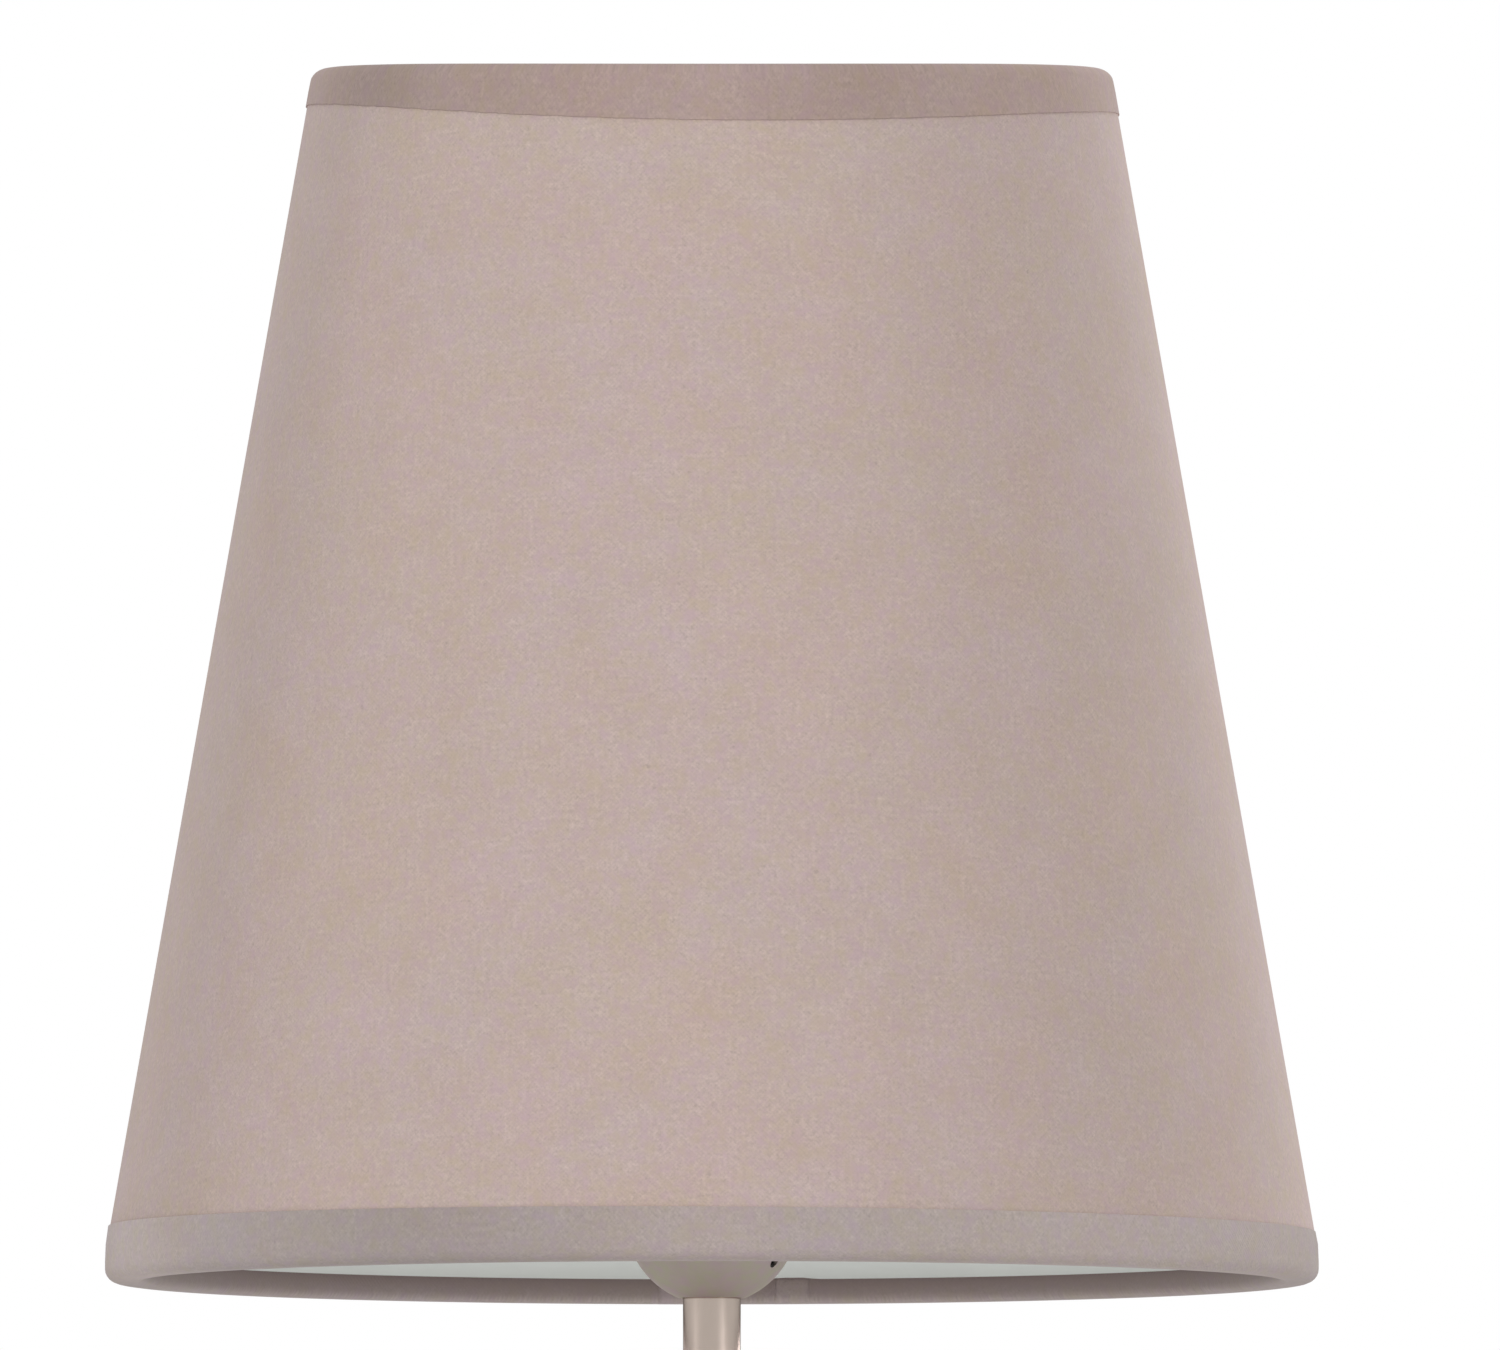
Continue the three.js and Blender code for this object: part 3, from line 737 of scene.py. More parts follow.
def lap(piece, near, far, thickness):
    """Raises a strip at the back, where one end of the sheet lies over the other."""
    half_width = 30
    edit(piece)
    for edge in (near, far):
        pick(lambda spot: spot.y > 0 and abs(spot.x) < half_width, "faces")
        bpy.ops.mesh.bisect(plane_co=(edge * MM, 0, 0), plane_no=(1, 0, 0))
    pick(lambda spot: spot.y > 0 and near < spot.x < far, "faces")
    extrude(0, thickness, 0)
    leave()


def lay_out(piece, flat):
    """Gives a piece the coordinates of its flat pattern, with the front in the middle and 1 for a metre."""
    mesh = piece.data
    pattern = mesh.uv_layers.new(name="flat_pattern").data
    for face in mesh.polygons:
        middle = past(azimuth(face.center), FRONT)
        for loop in face.loop_indices:
            spot = mesh.vertices[mesh.loops[loop].vertex_index].co
            turn = past(azimuth(spot) - FRONT, middle) + middle
            pattern[loop].uv = flat(reach(spot), spot.z, math.radians(turn))


def fit(piece, body, slot, material, *nodes, crisp=35):
    """Shades and finishes a piece, sets it on its body, and hides the solids that it stands for."""
    take(piece)
    bpy.ops.object.shade_smooth_by_angle(angle=math.radians(crisp))
    piece.data.materials.clear()
    piece.data.materials.append(material)
    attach(piece, body)
    if nodes:
        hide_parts(*nodes)


def paint(material, *nodes):
    """Gives solids that stay their finish."""
    for node in nodes:
        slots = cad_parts[node].data.materials
        slots.clear()
        slots.append(material)


# The shade


def trim(tape, edge, drop, radius_at):
    """Lowers a tape's edge a little unevenly, as it comes out by hand, and keeps it on its wall."""
    step = 3
    edit(tape)
    for side in range(-180, 180, step):
        fall = drop(math.cos(math.radians(side)))
        if pick(lambda spot: abs(spot.z - edge) < NEAR and apart(azimuth(spot), side) <= step / 2):
            lift(-fall)
            widen(radius_at(edge - fall) / radius_at(edge))
    leave()


def snip(tape, low):
    """Snips the inside leg of the lower tape at each arm."""
    edit(tape)
    pick(lambda spot: spot.z > low + 2 and reach(spot) < BOTTOM_LEG + 0.7
         and any(apart(azimuth(spot), arm) < 1.6 for arm in ARM_ANGLES), "faces")
    bpy.ops.mesh.delete(type="FACE")
    leave()


def let_dip(pieces, dip, low, high, radius):
    """Lets the upper edge of the shade dip a little at the front and back."""
    width, curve = 3.2 * radius, 1.6
    begin()
    bpy.ops.object.add(type="LATTICE", location=(0, 0, (low + high) / 2 * MM))
    cage = bpy.context.object
    cage.scale = (width * MM, width * MM, (high - low) * MM)
    for axis, count, way in (("u", 2, "KEY_LINEAR"), ("v", 7, "KEY_CATMULL_ROM"), ("w", 2, "KEY_LINEAR")):
        setattr(cage.data, f"points_{axis}", count)
        setattr(cage.data, f"interpolation_type_{axis}", way)
    for point in cage.data.points:
        if point.co.z > 0:
            point.co_deform.z -= dip * abs(point.co.y * width / radius) ** curve / (high - low)
    for piece in pieces:
        modify(piece, "LATTICE", object=cage)
    bpy.data.objects.remove(cage)


def ring_wire(name, node, shade):
    """A hem's ring wire, swollen a little where its ends are butt-welded, with its radius and height."""
    low, high, outside = span(node)
    size = shade.wire_radius / MM
    radius, height = outside - size, (low + high) / 2
    section = bow(radius, height, size, 0, 360 - 360 / WIRE_SIDES, WIRE_SIDES - 1)
    wire = turned(name, section, shade.sides)
    weld = math.radians(WELD_ANGLE)
    edit(wire)
    for half, factor in ((1.6, 1.22), (2.8, 1.08)):
        pick(lambda spot: math.radians(apart(azimuth(spot), WELD_ANGLE)) * radius < half)
        bpy.ops.transform.resize(
            value=(factor, factor, factor),
            center_override=(radius * math.cos(weld) * MM, radius * math.sin(weld) * MM, height * MM),
        )
    leave()
    return wire, radius, height


def weld_bead(place, size, seed):
    """A small blob of weld."""
    begin()
    bpy.ops.mesh.primitive_uv_sphere_add(
        segments=20, ring_count=12, radius=MM, location=[value * MM for value in place], scale=size,
    )
    edit_new()
    bpy.ops.transform.vertex_random(offset=0.1 * MM, uniform=0.3, normal=0.6, seed=seed)
    bpy.ops.mesh.vertices_smooth(factor=0.5, repeat=1)
    return finished("weld_bead")


def hanger_arm(ring_radius, ring_height, plate_foot):
    """One arm along +X: flat under the plate, bent down, straight to the ring, with its welds."""
    wire, start, bend, run = 1.75, 17.7, 24.6, 6
    gap, ring_gap, end_weld, seat_x, seat_y = 0.3, 1.3, 1.9, 19.7, 1.35
    level, seat = plate_foot - gap - wire, plate_foot - 0.55
    fall = math.atan2(level - ring_height, ring_radius - bend)
    length = math.hypot(ring_radius - bend, level - ring_height) - run - ring_gap
    begin()
    bpy.ops.mesh.primitive_circle_add(
        vertices=20, radius=wire * MM, fill_type="NGON",
        location=(start * MM, 0, level * MM), rotation=(0, math.pi / 2, 0),
    )
    edit_new()
    extrude(bend - run - start, 0, 0)
    centre = ((bend - run) * MM, 0, (level - run / math.tan(fall / 2)) * MM)
    bpy.ops.mesh.spin(steps=8, angle=-fall, center=centre, axis=(0, 1, 0))
    extrude(length * math.cos(fall), 0, -length * math.sin(fall))
    tidy_faces()
    arm = finished("hanger_arm_1")
    soften(arm, 0.35, 60)
    end = (ring_radius - end_weld * math.cos(fall), 0, ring_height + end_weld * math.sin(fall))
    beads = [
        weld_bead(end, (1.5, 2.6, 2.1), 3),
        weld_bead((seat_x, seat_y, seat), (2.2, 0.9, 0.75), 5),
        weld_bead((seat_x, -seat_y, seat), (2.4, 0.85, 0.75), 8),
    ]
    take(arm, *beads)
    bpy.ops.object.join()
    return arm


class LAMP_OT_shade_cloth(bpy.types.Operator):
    """Models the cloth, its lining film and the folded tape at both edges"""

    bl_idname = "lamp.shade_cloth"
    bl_label = "Shade cloth"

    def execute(self, context):
        shade = context.scene.lamp_shade
        low, high = span("bottom_trim")[0], span("top_trim")[1]
        wide, narrow = shade.bottom_radius / MM, shade.top_radius / MM
        tape, seam = shade.tape_thickness / MM, shade.seam_width / MM
        low_edge, high_edge = low + shade.tape_height / MM, high - 8
        inset, film_inset, tuck = 2.4, 1.4, 0.78

        def wall(height):
            """The cloth's outside radius: straight, but drawn in where the lower tape holds it."""
            straight = narrow + (wide - tuck - narrow) * (high - height) / (high - low_edge)
            return min(straight, wide - 2 * tape)

        def layer(name, depth, short):
            """A layer of the wall, which stops short of both edges."""
            heights = [height for _, height in rise(0, low + short, high - short, 40)]
            return turned(name, [(wall(height) - depth, height) for height in heights], shade.sides, False)

        cloth = layer("shade_cloth", 0, inset)
        film = layer("shade_film", shade.cloth_thickness / MM + 0.1, film_inset)
        top_end, bottom_end = high - TOP_LEG_LENGTH, low + BOTTOM_LEG_LENGTH
        top = turned("top_hem", [
            (wall(high_edge) + tape, high_edge), (wall(high - 4) + tape, high - 4),
            (wall(high) + 0.15, high, 1.9), (TOP_LEG, high, 1.6), (TOP_LEG, top_end),
        ], shade.sides, False)
        bottom = turned("bottom_hem", [
            (wall(low_edge) + tape, low_edge), (wide - 0.12, low + 6.6), (wide, low + 3.6),
            (wide, low, 2.3), (BOTTOM_LEG, low, 1.8), (BOTTOM_LEG, bottom_end),
        ], shade.sides, False)
        trim(
            top, high_edge, lambda across: 1.85 - 2.9 * across ** 2 + 0.7 * across,
            lambda height: wall(height) + tape,
        )
        trim(bottom, low_edge, lambda across: 0.5 * across, lambda height: 1)
        snip(bottom, low)
        lap(cloth, -seam, 0, 0.35)
        lap(film, 0.5, 8, 0.05)
        thicken(cloth, shade.cloth_thickness)
        thicken(film, shade.film_thickness)
        for piece in (top, bottom):
            lap(piece, -seam - 0.3, 0.3, 0.36)
            lap(piece, *TAPE_JOINT, 0.22)
            thicken(piece, shade.tape_thickness)
        wire = ring_wire("top_wire", "top_ring", shade)[0]
        let_dip([cloth, film, top, wire], shade.top_dip / MM, high - 100, high, narrow)
        slope = math.sin(math.atan((wide - narrow) / (high - low)))
        lay_out(cloth, lambda radius, height, turn: (
            radius / slope * math.sin(turn * slope), -radius / slope * math.cos(turn * slope)
        ))
        weaves = []
        for piece, node, colour, bands, leg in (
            (top, "top_trim", shade.top_colour, TOP_LIGHT_BANDS, (TOP_LEG, high, top_end)),
            (bottom, "bottom_trim", shade.bottom_colour, BOTTOM_LIGHT_BANDS, (BOTTOM_LEG, low, bottom_end)),
        ):
            around = span(node)[2] * MM
            lay_out(piece, lambda radius, height, turn: (turn * around, height + radius))
            weaves.append(woven_cloth(piece.name + "_weave", colour, shade.thread_pitch, bands, leg))
        woven = woven_cloth("shade_cloth_weave", shade.cloth_colour, shade.thread_pitch, CLOTH_LIGHT_BANDS)
        fit(cloth, "shade", "shade_fabric", woven, "shade_fabric")
        fit(film, "shade", "shade_lining", lining_film("white_film", shade.film_colour), "shade_lining")
        fit(top, "shade", "hem_fabric", weaves[0], "top_trim")
        fit(bottom, "shade", "hem_fabric", weaves[1], "bottom_trim")
        fit(wire, "shade", "white_wire", painted_wire("white_paint", shade.wire_colour), "top_ring")
        far, near = wall(low + inset) / slope * MM, wall(high - inset) / slope * MM
        half = math.pi * slope
        seam = shade.seam_width
        2 * far * math.sin(half) + seam
        far - near * math.cos(half)
        half * (far * far - near * near) + seam * (far - near)
        return {"FINISHED"}


class LAMP_OT_shade_carrier(bpy.types.Operator):
    """Models the lower ring wire, the three wire arms and the plate that hang the shade"""

    bl_idname = "lamp.shade_carrier"
    bl_label = "Shade carrier"

    def execute(self, context):
        enamel = bpy.data.materials["white_paint"]
        ring, radius, height = ring_wire("bottom_wire", "bottom_ring", context.scene.lamp_shade)
        low, high, rim = span("carrier_plate")
        bore = 14.5
        plate = turned(
            "hanger_plate", [(bore, low, 0.3), (rim, low, 0.5), (rim, high, 0.5), (bore, high, 0.3)], 120,
        )
        arms = [hanger_arm(radius, height, low)]
        for number in (2, 3):
            take(arms[0])
            bpy.ops.object.duplicate()
            arms.append(finished(f"hanger_arm_{number}"))
        fit(ring, "shade", "white_wire", enamel, "bottom_ring")
        fit(plate, "shade", "white_wire", enamel, "carrier_plate")
        for number, (arm, angle) in enumerate(zip(arms, ARM_ANGLES), 1):
            take(arm)
            swing(angle)
            settle()
            fit(arm, "shade", "white_wire", enamel, f"carrier_arm_{number}", crisp=50)
        return {"FINISHED"}


# The lampholder


def holder_cap(holder):
    """The lower half of the holder, ribbed where fingers hold it."""
    low, high, size = span("holder_cap")
    bore, inside, floor = 5.3, size - 1.4, low + 8.6
    cap = turned("holder_body", [
        (bore, low, 0.3), (7.6, low, 0.5), (size, low + 7.5, 1.5), (size, low + 9.6), (size, high - 1.0),
        (size, high, 0.25), (inside, high), (inside, floor, 0.5), (bore, floor, 0.3),
    ], holder.ribs * 4)
    flute(cap, low + 9.5, high - 0.9, size - 0.1, holder.ribs, (size - 0.45) / size)
    return cap


def holder_skirt(holder):
    """The upper half: a spigot, a shoulder and a long outside thread."""
    low, high, shoulder = span("holder_skirt")
    pitch, crest = holder.skirt_pitch / MM, 14
    row = pitch / THREAD_ROWS
    bore, spigot, neck, inside = 9.8, 11.1, 12.8, 12
    start, bottom, ledge = low + 4, low + 7.3, low + 9.5
    rows = round((high - 0.9 - ledge - 0.6) / row)
    skirt = turned("holder_skirt_threaded", [
        (bore, low), (spigot, low, 0.3), (spigot, start), (neck, start, 0.2), (neck, bottom - 0.8, 0.4),
        (shoulder - 0.8, bottom, 0.3), (shoulder, bottom + 0.8, 0.3), (shoulder, ledge, 0.4),
        (crest, ledge), *rise(crest, ledge + 0.6, ledge + 0.6 + rows * row, rows),
        (13.2, high, 0.3), (inside, high, 0.3), (inside, ledge, 0.6), (bore, bottom),
    ])
    roll_thread(skirt, ledge + 1.2, high - 1.3, pitch, crest, crest, crest - holder.skirt_depth / MM)
    return skirt


def screw_shell(bulb):
    """The brass shell, its thread rolled to suit the bulb's."""
    low, high, _ = span("screw_shell")
    pitch, play = bulb.pitch / MM, 0.3
    crest, root = [(size + bulb.sheet) / MM + play for size in (bulb.crest, bulb.root)]
    wall = thread_wall(crest, low + 0.8, high - 1.6, pitch)
    points = [(crest, low), *wall, (crest + 0.1, high - 1.2), (crest + 0.6, high)]
    shell = turned("screw_shell_rolled", points, closed=False)
    roll_thread(shell, wall[0][1] + 0.5, wall[-1][1] - 0.5, pitch, crest, crest, root)
    thicken(shell, bulb.sheet, 1)
    return shell


def shade_ring(holder):
    """The shade ring: a flange, a grip and an inside thread that clears the skirt's."""
    low, high, flange = span("shade_ring")
    pitch, bore, grip = holder.skirt_pitch / MM, 14.2, 17.6
    row = pitch / THREAD_ROWS
    rows = round((high - low - 1.2) / row)
    ring = turned("shade_ring_nut", [
        (flange, low, 0.5), (flange, low + 2.4, 0.6), (grip, low + 2.4, 0.3), (grip, high, 0.6),
        (bore + 0.6, high), *rise(bore, high - 0.6, high - 0.6 - rows * row, rows), (bore + 0.6, low),
    ], holder.grips * 8)
    roll_thread(ring, low + 0.9, high - 0.9, pitch, bore, bore + 0.8, bore)
    flute(ring, low + 2.75, math.inf, grip - 0.9, holder.grips, 16.75 / grip)
    soften(ring, 0.18, 40)
    return ring


class LAMP_OT_holder_cup(bpy.types.Operator):
    """Models the bowl-shaped cup under the lampholder, with its locking screw"""

    bl_idname = "lamp.holder_cup"
    bl_label = "Holder cup"

    def execute(self, context):
        low, rim, size = span("holder_cup")
        bore, flat, mouth, inner = 5.3, 5.7, 5.9, size - 1
        foot, floor = low + 0.02, low + 2.7
        centre = low + math.sqrt(size ** 2 - flat ** 2)
        cup = turned("holder_bowl", [
            (bore, foot, 0.15), (mouth - 0.1, foot, 0.2),
            *bow(0, centre, size, -math.degrees(math.acos(mouth / size)), 0, 28),
            (size, rim - 0.9), (size, rim, 0.4), (inner, rim, 0.4),
            *bow(0, centre, inner, 0, math.degrees(math.asin((floor - centre) / inner)), 24),
            (bore, floor, 0.3),
        ], 128)
        where = (SCREW_ANGLE, SCREW_HEIGHT)
        carve(cup, peg("screw_hole", 1.05, 6, 16, 24, *where))
        screw = peg("locking_screw", 0.98, 9.2, 12.15, 24, *where)
        carve(screw, peg("screw_socket", 0.55, 11.2, 14, 6, *where))
        soften(screw, 0.08, 50)
        # painted shade: the cup's nickel is a darker copy for the shadow under the hem
        nickel = satin_nickel("cup_nickel", context.scene.lamp_base.cup_shaded_colour, 0.6, 0.7, 0.5)
        fit(cup, "root", "satin_nickel", nickel, "holder_cup")
        fit(screw, "root", "plain_steel", bare_metal("dark_steel", chart(70, 68, 66), 0.4))
        return {"FINISHED"}


class LAMP_OT_lampholder(bpy.types.Operator):
    """Models the lampholder's plastic cap and threaded skirt, its brass shell, and the shade ring"""

    bl_idname = "lamp.lampholder"
    bl_label = "Lampholder"

    def execute(self, context):
        holder = context.scene.lamp_holder
        white = moulded_plastic("white_plastic", holder.plastic_colour, 0.3)
        brass = bare_metal("bare_brass", holder.brass_colour, 0.2)
        steel = bare_metal("zinc_steel", chart(168, 168, 165), 0.28)
        fit(holder_cap(holder), "root", "white_plastic", white, "holder_cap")
        fit(holder_skirt(holder), "root", "white_plastic", white, "holder_skirt")
        fit(screw_shell(context.scene.lamp_bulb), "root", "brass", brass, "screw_shell", crisp=60)
        fit(shade_ring(holder), "shade_ring", "white_plastic", white, "shade_ring")
        paint(white, "contact_carrier")
        paint(brass, "centre_contact")
        paint(steel, "terminal_screw_right", "terminal_screw_left")
        return {"FINISHED"}


# The bulb


def bulb_glass():
    """A round envelope that runs into its neck in one sweep."""
    low, high, size = span("bulb_glass")
    neck = 5.95
    globe = bow(0, high - size, size, -61.2, 90, 40)
    points = [(neck, low), (neck, low + 8.4, 1.2), (8.4, low + 12, 3), *globe]
    glass = turned("bulb_globe", points, closed=False)
    thicken(glass, 0.8 * MM)
    return glass


def bulb_cap(bulb):
    """The screw cap: a thin rolled sheet, drawn in at its foot, with a plain rim at its top."""
    low, high, _ = span("bulb_cap")
    pitch, crest, root = bulb.pitch / MM, bulb.crest / MM, bulb.root / MM
    wall = thread_wall(crest, low + 0.9, high - 2.0, pitch)
    first, last = wall[0][1], wall[-1][1]
    cap = turned("bulb_screw_cap", [
        (crest - 1.0, low), (root, low + 0.5), (root, first), *wall[1:],
        (crest, high - 0.6), (crest - 0.15, high),
    ], closed=False)
    roll_thread(cap, first + 0.3, last - 0.3, pitch, crest, crest, root)
    thicken(cap, bulb.sheet)
    return cap


class LAMP_OT_bulb(bpy.types.Operator):
    """Models the bulb: opal glass, rolled screw cap, black glass insulator and solder contact"""

    bl_idname = "lamp.bulb"
    bl_label = "Bulb"

    def execute(self, context):
        bulb = context.scene.lamp_bulb
        glass, cap = bulb_glass(), bulb_cap(bulb)
        low, high, size = span("bulb_insulator")
        insulator = turned("bulb_button", [
            (0, low), (3.4, low, 0.5), (size - 0.6, low + 3, 0.6), (size - 0.6, high), (0, high),
        ], 48, False)
        low, high, size = span("bulb_contact")
        contact = turned("bulb_solder", [
            (0, low), (1.5, low, 0.4), (size, low + 0.7, 0.3), (size, high), (0, high),
        ], 32, False)
        opal = opal_glass("opal_glass", bulb.glass_colour)
        metal = bare_metal("bulb_metal", chart(201, 202, 204), 0.2)
        solder = bare_metal("soft_solder", chart(170, 171, 169), 0.35, 0.45)
        fit(glass, "bulb", "opal_glass", opal, "bulb_glass", crisp=60)
        fit(cap, "bulb", "bulb_metal", metal, "bulb_cap", crisp=60)
        fit(insulator, "bulb", "black_glass", black_glass("black_glass"), "bulb_insulator")
        fit(contact, "bulb_foot", "solder", solder, "bulb_contact")
        return {"FINISHED"}


# The column and base


def base_cover(bushing_height):
    """A shell pressed from one sheet, with a slightly domed top."""
    low, high, size = span("base_cover")
    sheet, edge, hole = 1.2, 4, 4.35
    rings = (5.3, 12, 20, 30, 40, 50, 57)

    def dome(radius, depth=0.0):
        """The height of the top, or of its underside."""
        return high - depth - (radius / (size - edge)) ** 2

    cover = turned("base_shell", [
        *[(radius, dome(radius)) for radius in rings], (size, dome(size) + 0.12, edge),
        (size, low, 0.4), (size - sheet, low, 0.4), (size - sheet, dome(size, sheet) + 0.12, edge - sheet),
        *[(radius, dome(radius, sheet)) for radius in reversed(rings)],
    ], 160)
    carve(cover, peg("cord_hole", hole, size - 12, size + 8, 48, BACK, bushing_height))
    return cover


def cord_bushing(height):
    """The grommet that the cord leaves by, its mouth rounded."""
    near, far = [corner.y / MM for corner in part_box("cord_bushing")]
    bore, body, flange, lip = 3.3, 4.1, 5.0, far - 1
    turned("cord_grommet", [
        (bore, near, 0.3), (body, near, 0.3), (body, lip), (flange, lip, 0.25), (flange, far, 0.45),
        (bore, far, 0.6),
    ], 48)
    swing(-90, "X")
    edit_new()
    lift(height)
    return finished("cord_grommet")


class LAMP_OT_column(bpy.types.Operator):
    """Models the column and the collar at its foot"""

    bl_idname = "lamp.column"
    bl_label = "Column"

    def execute(self, context):
        base = context.scene.lamp_base
        size = base.column_radius / MM
        low, high, _ = span("column_tube")
        tube = turned("column_pipe", [
            (size - 1, low, 0.2), (size, low, 0.3), (size, high, 0.3), (size - 1, high, 0.2),
        ])
        low, high, wide = span("column_collar")
        bore, hollow, drop = 5.3, 4.1, 5
        angles = [math.radians(angle) for angle in range(-96, -180, -6)]
        sweep = [(wide + hollow * math.cos(angle), high + drop * math.sin(angle)) for angle in angles]
        collar = turned("column_boss", [
            (bore, low), (wide, low, 0.3), (wide, low + 2, 0.35), *sweep,
            (wide - hollow, high, 0.35), (bore, high, 0.3),
        ])
        # painted light: a lighter copy of the nickel, brightening the column where it reflects the shade's
        # dark inside
        nickel = satin_nickel("column_nickel", base.column_lit_colour, 0.17, rim=0.35)
        fit(tube, "root", "satin_nickel", nickel, "column_tube")
        fit(collar, "root", "satin_nickel", nickel, "column_collar")
        return {"FINISHED"}


class LAMP_OT_base(bpy.types.Operator):
    """Models the round base: pressed cover, felt pad and cord bushing, over the cast weight"""

    bl_idname = "lamp.base"
    bl_label = "Base"

    def execute(self, context):
        base = context.scene.lamp_base
        height = sum(span("cord_bushing")[:2]) / 2
        low, high, size = span("felt_pad")
        nickel = satin_nickel("satin_nickel", base.nickel_colour, 0.22)
        black = moulded_plastic("black_plastic", chart(38, 38, 38), 0.35)
        fit(base_cover(height), "root", "satin_nickel", nickel, "base_cover")
        pad = turned("felt_foot", [(0, low), (size, low, 0.6), (size, high, 0.5), (0, high)], 128, False)
        fit(pad, "root", "felt", pressed_felt("pressed_felt", base.felt_colour), "felt_pad")
        fit(cord_bushing(height), "root", "black_plastic", black, "cord_bushing")
        paint(cast_iron("cast_iron", base.iron_colour), "base_weight")
        paint(bpy.data.materials["zinc_steel"], "clamp_washer", "clamp_nut")
        return {"FINISHED"}


# The studio


def studio_floor(radius, colour):
    """A pale round floor that fades out at its edge, open from below and under the felt."""
    begin()
    bpy.ops.mesh.primitive_circle_add(vertices=96, radius=radius, fill_type="NGON")
    edit_new()
    bpy.ops.mesh.inset(thickness=radius - (span("felt_pad")[2] - 4) * MM)
    bpy.ops.mesh.delete(type="FACE")
    floor = finished("floor")
    pale = Finish("pale_floor")
    spread = pale.stretch((1 / radius,) * 3)
    distance = pale.node("ShaderNodeVectorMath", {"operation": "LENGTH"}, {0: spread}, output="Value")
    edge = pale.ramp(distance, (0.22, 1), (0.9, 0))
    seen = pale.node("ShaderNodeLightPath", output="Is Camera Ray")
    below = pale.node("ShaderNodeNewGeometry", output="Backfacing")
    floor.data.materials.append(pale.dress(
        base_color=pale.tones(pale.noise(3), colour, 0.98, 1), roughness=0.9,
        alpha=edge * (1 - below * seen), specular_ior_level=0.1,
    ))


def studio_world(daylight):
    """Even light, and a white background for the camera, for metal and for glass."""
    sky = Nodes(bpy.data.worlds.new("studio_world"), "Background")
    sky.dress(color=(1, 1, 1, 1), strength=daylight)
    even = Value(sky, sky.shader.outputs[0])
    white = sky.node("ShaderNodeBackground", {}, {"Color": (1, 1, 1, 1)})
    rays = ("Is Camera Ray", "Is Glossy Ray", "Is Transmission Ray")
    seen, mirrored, through = [sky.node("ShaderNodeLightPath", output=ray) for ray in rays]
    share = seen.math("MAXIMUM", mirrored).math("MAXIMUM", through)
    mix = sky.node("ShaderNodeMixShader", {}, {0: share, 1: even, 2: white})
    sky.feed(sky.tree.nodes["World Output"].inputs["Surface"], mix)
    return sky.owner


def studio_light(name, place, aim_height, size, power, in_cloth=True):
    """A soft light, or one that only shows as a stripe in what is polished."""
    begin()
    bpy.ops.object.light_add(type="AREA", location=place)
    light = bpy.context.object
    light.name = name
    light.data.shape = "RECTANGLE"
    light.data.size, light.data.size_y = size
    light.data.energy = power
    light.visible_camera = False
    light.visible_diffuse = in_cloth
    aim = Vector((0, 0, aim_height))
    light.rotation_euler = (Vector(place) - aim).to_track_quat("Z", "Y").to_euler()


def studio_camera(studio):
    """The photograph's view: far off, and lower than the shade."""
    begin()
    eye = Vector((0, -studio.distance, studio.drop))
    aim = Vector((studio.aim_x, 0, studio.aim_z))
    bpy.ops.object.camera_add(location=eye, rotation=(eye - aim).to_track_quat("Z", "Y").to_euler())
    camera = bpy.context.object
    camera.data.sensor_width = 36
    camera.data.lens = camera.data.sensor_width * (aim - eye).length / studio.view_width
    camera.data.clip_end = 100
    return camera


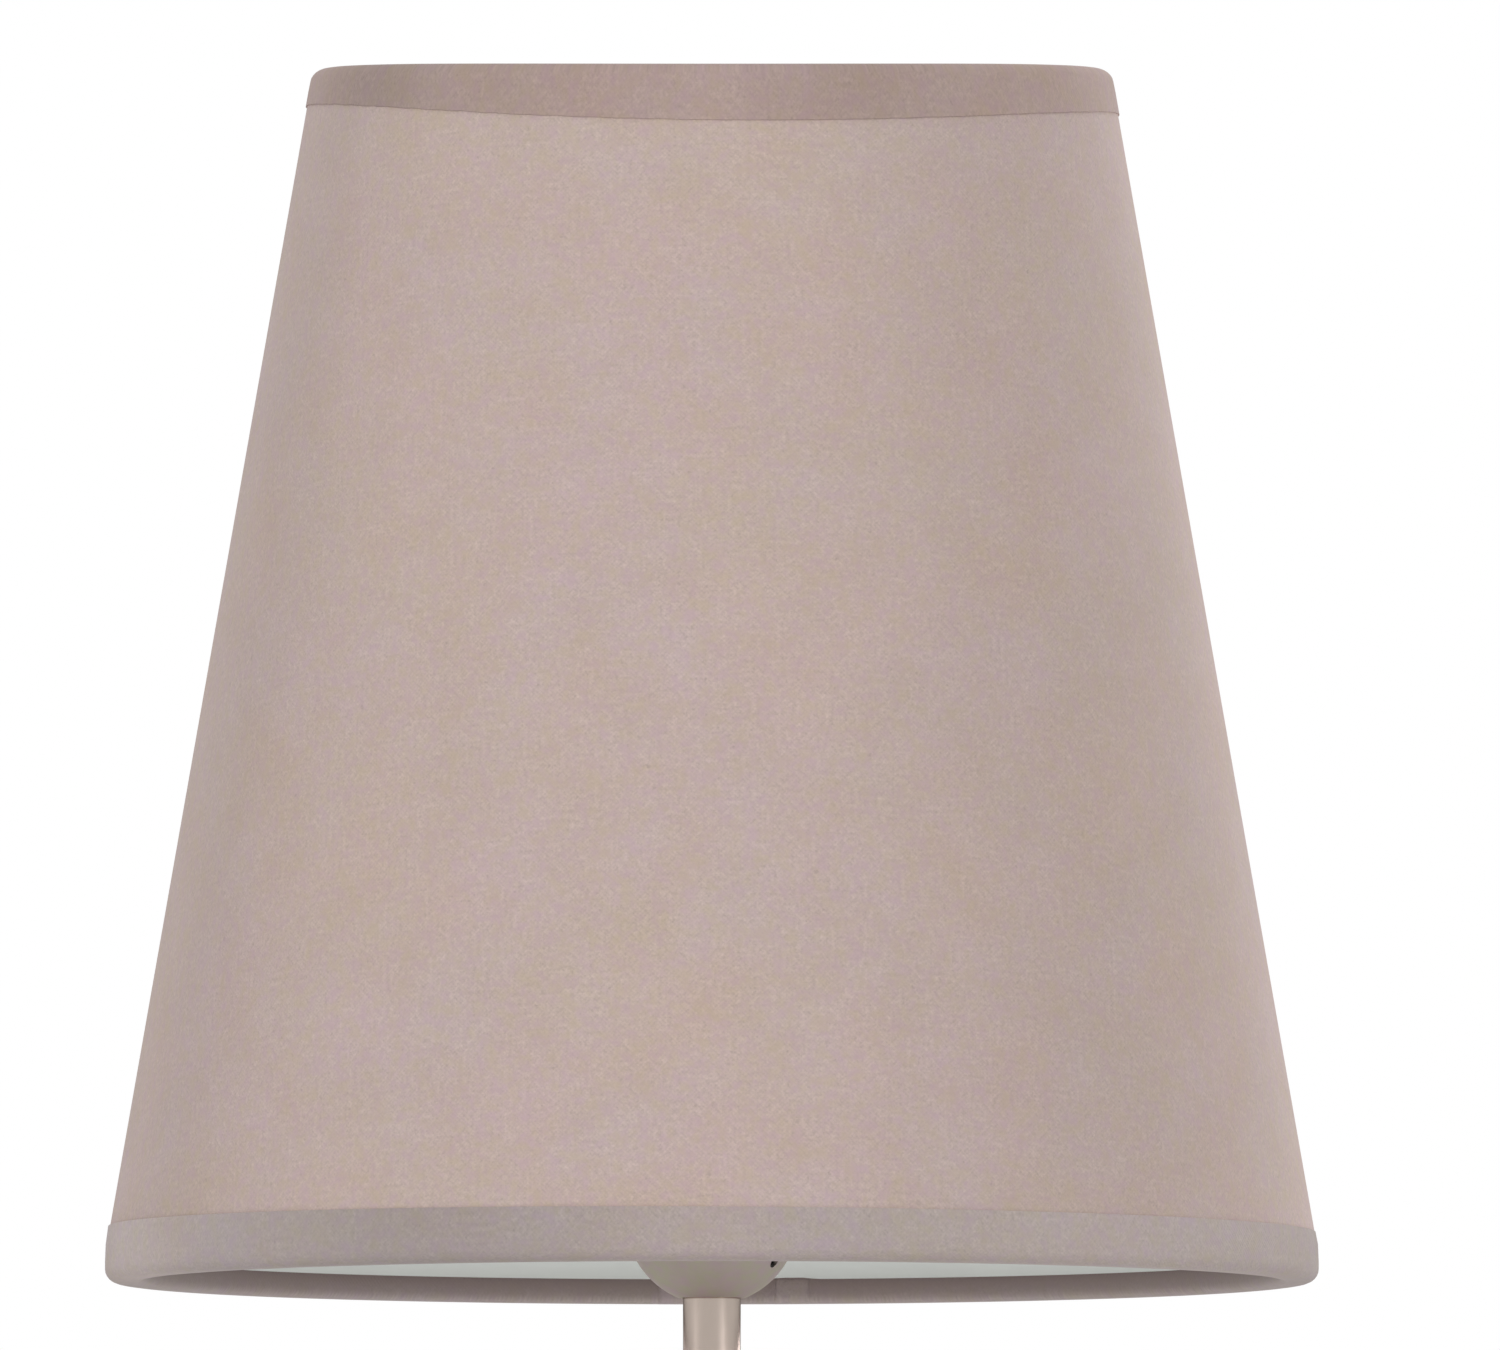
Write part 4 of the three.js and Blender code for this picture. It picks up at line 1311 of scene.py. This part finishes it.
class LAMP_OT_studio(bpy.types.Operator):
    """Sets the floor, the light and the camera"""

    bl_idname = "lamp.studio"
    bl_label = "Studio"

    def execute(self, context):
        scene = context.scene
        studio = scene.lamp_studio
        strip = (0.4, 0.25)
        studio_floor(studio.floor_radius, studio.floor_colour)
        scene.world = studio_world(studio.daylight)
        studio_light("front_light", (-0.5, -2.9, 1.6), 0.28, (1.6, 1.6), 27)
        studio_light("left_strip", (-2.75, -1.2, 0.22), 0.22, strip, 11, in_cloth=False)
        studio_light("right_strip", (2.05, -2.2, 0.22), 0.22, strip, 15, in_cloth=False)
        studio_light("back_light", (1.95, 2.3, 0.9), 0.28, (1.0, 1.6), 18)
        scene.camera = studio_camera(studio)
        scene.view_settings.view_transform = "Standard"
        return {"FINISHED"}


class LAMP_PT_panel(bpy.types.Panel):
    """Lists the steps that build the lamp, and its sizes and colours"""

    bl_idname = "LAMP_PT_panel"
    bl_label = "Table Lamp"
    bl_space_type = "VIEW_3D"
    bl_region_type = "UI"
    bl_category = "Lamp"

    def draw(self, context):
        for operator in OPERATORS:
            self.layout.operator(operator.bl_idname)
        for name, group in SETTINGS.items():
            box = self.layout.box()
            box.label(text=group.__doc__)
            for field in group.__annotations__:
                box.prop(getattr(context.scene, name), field)


SETTINGS = {
    "lamp_shade": ShadeSettings,
    "lamp_holder": HolderSettings,
    "lamp_bulb": BulbSettings,
    "lamp_base": BaseSettings,
    "lamp_studio": StudioSettings,
}
OPERATORS = (
    LAMP_OT_shade_cloth,
    LAMP_OT_shade_carrier,
    LAMP_OT_holder_cup,
    LAMP_OT_lampholder,
    LAMP_OT_bulb,
    LAMP_OT_column,
    LAMP_OT_base,
    LAMP_OT_studio,
)


def register():
    """Makes the settings, the steps and the panel known to Blender."""
    for part in (*SETTINGS.values(), *OPERATORS, LAMP_PT_panel):
        bpy.utils.register_class(part)
    for name, group in SETTINGS.items():
        setattr(bpy.types.Scene, name, PointerProperty(type=group))


def unregister():
    """Takes them away again."""
    for name in SETTINGS:
        delattr(bpy.types.Scene, name)
    for part in (LAMP_PT_panel, *reversed(OPERATORS), *SETTINGS.values()):
        bpy.utils.unregister_class(part)


def main():
    """Builds the whole lamp."""
    register()
    bpy.ops.lamp.shade_cloth()
    bpy.ops.lamp.shade_carrier()
    bpy.ops.lamp.holder_cup()
    bpy.ops.lamp.lampholder()
    bpy.ops.lamp.bulb()
    bpy.ops.lamp.column()
    bpy.ops.lamp.base()
    bpy.ops.lamp.studio()
    begin()


if __name__ == "__main__":
    main()
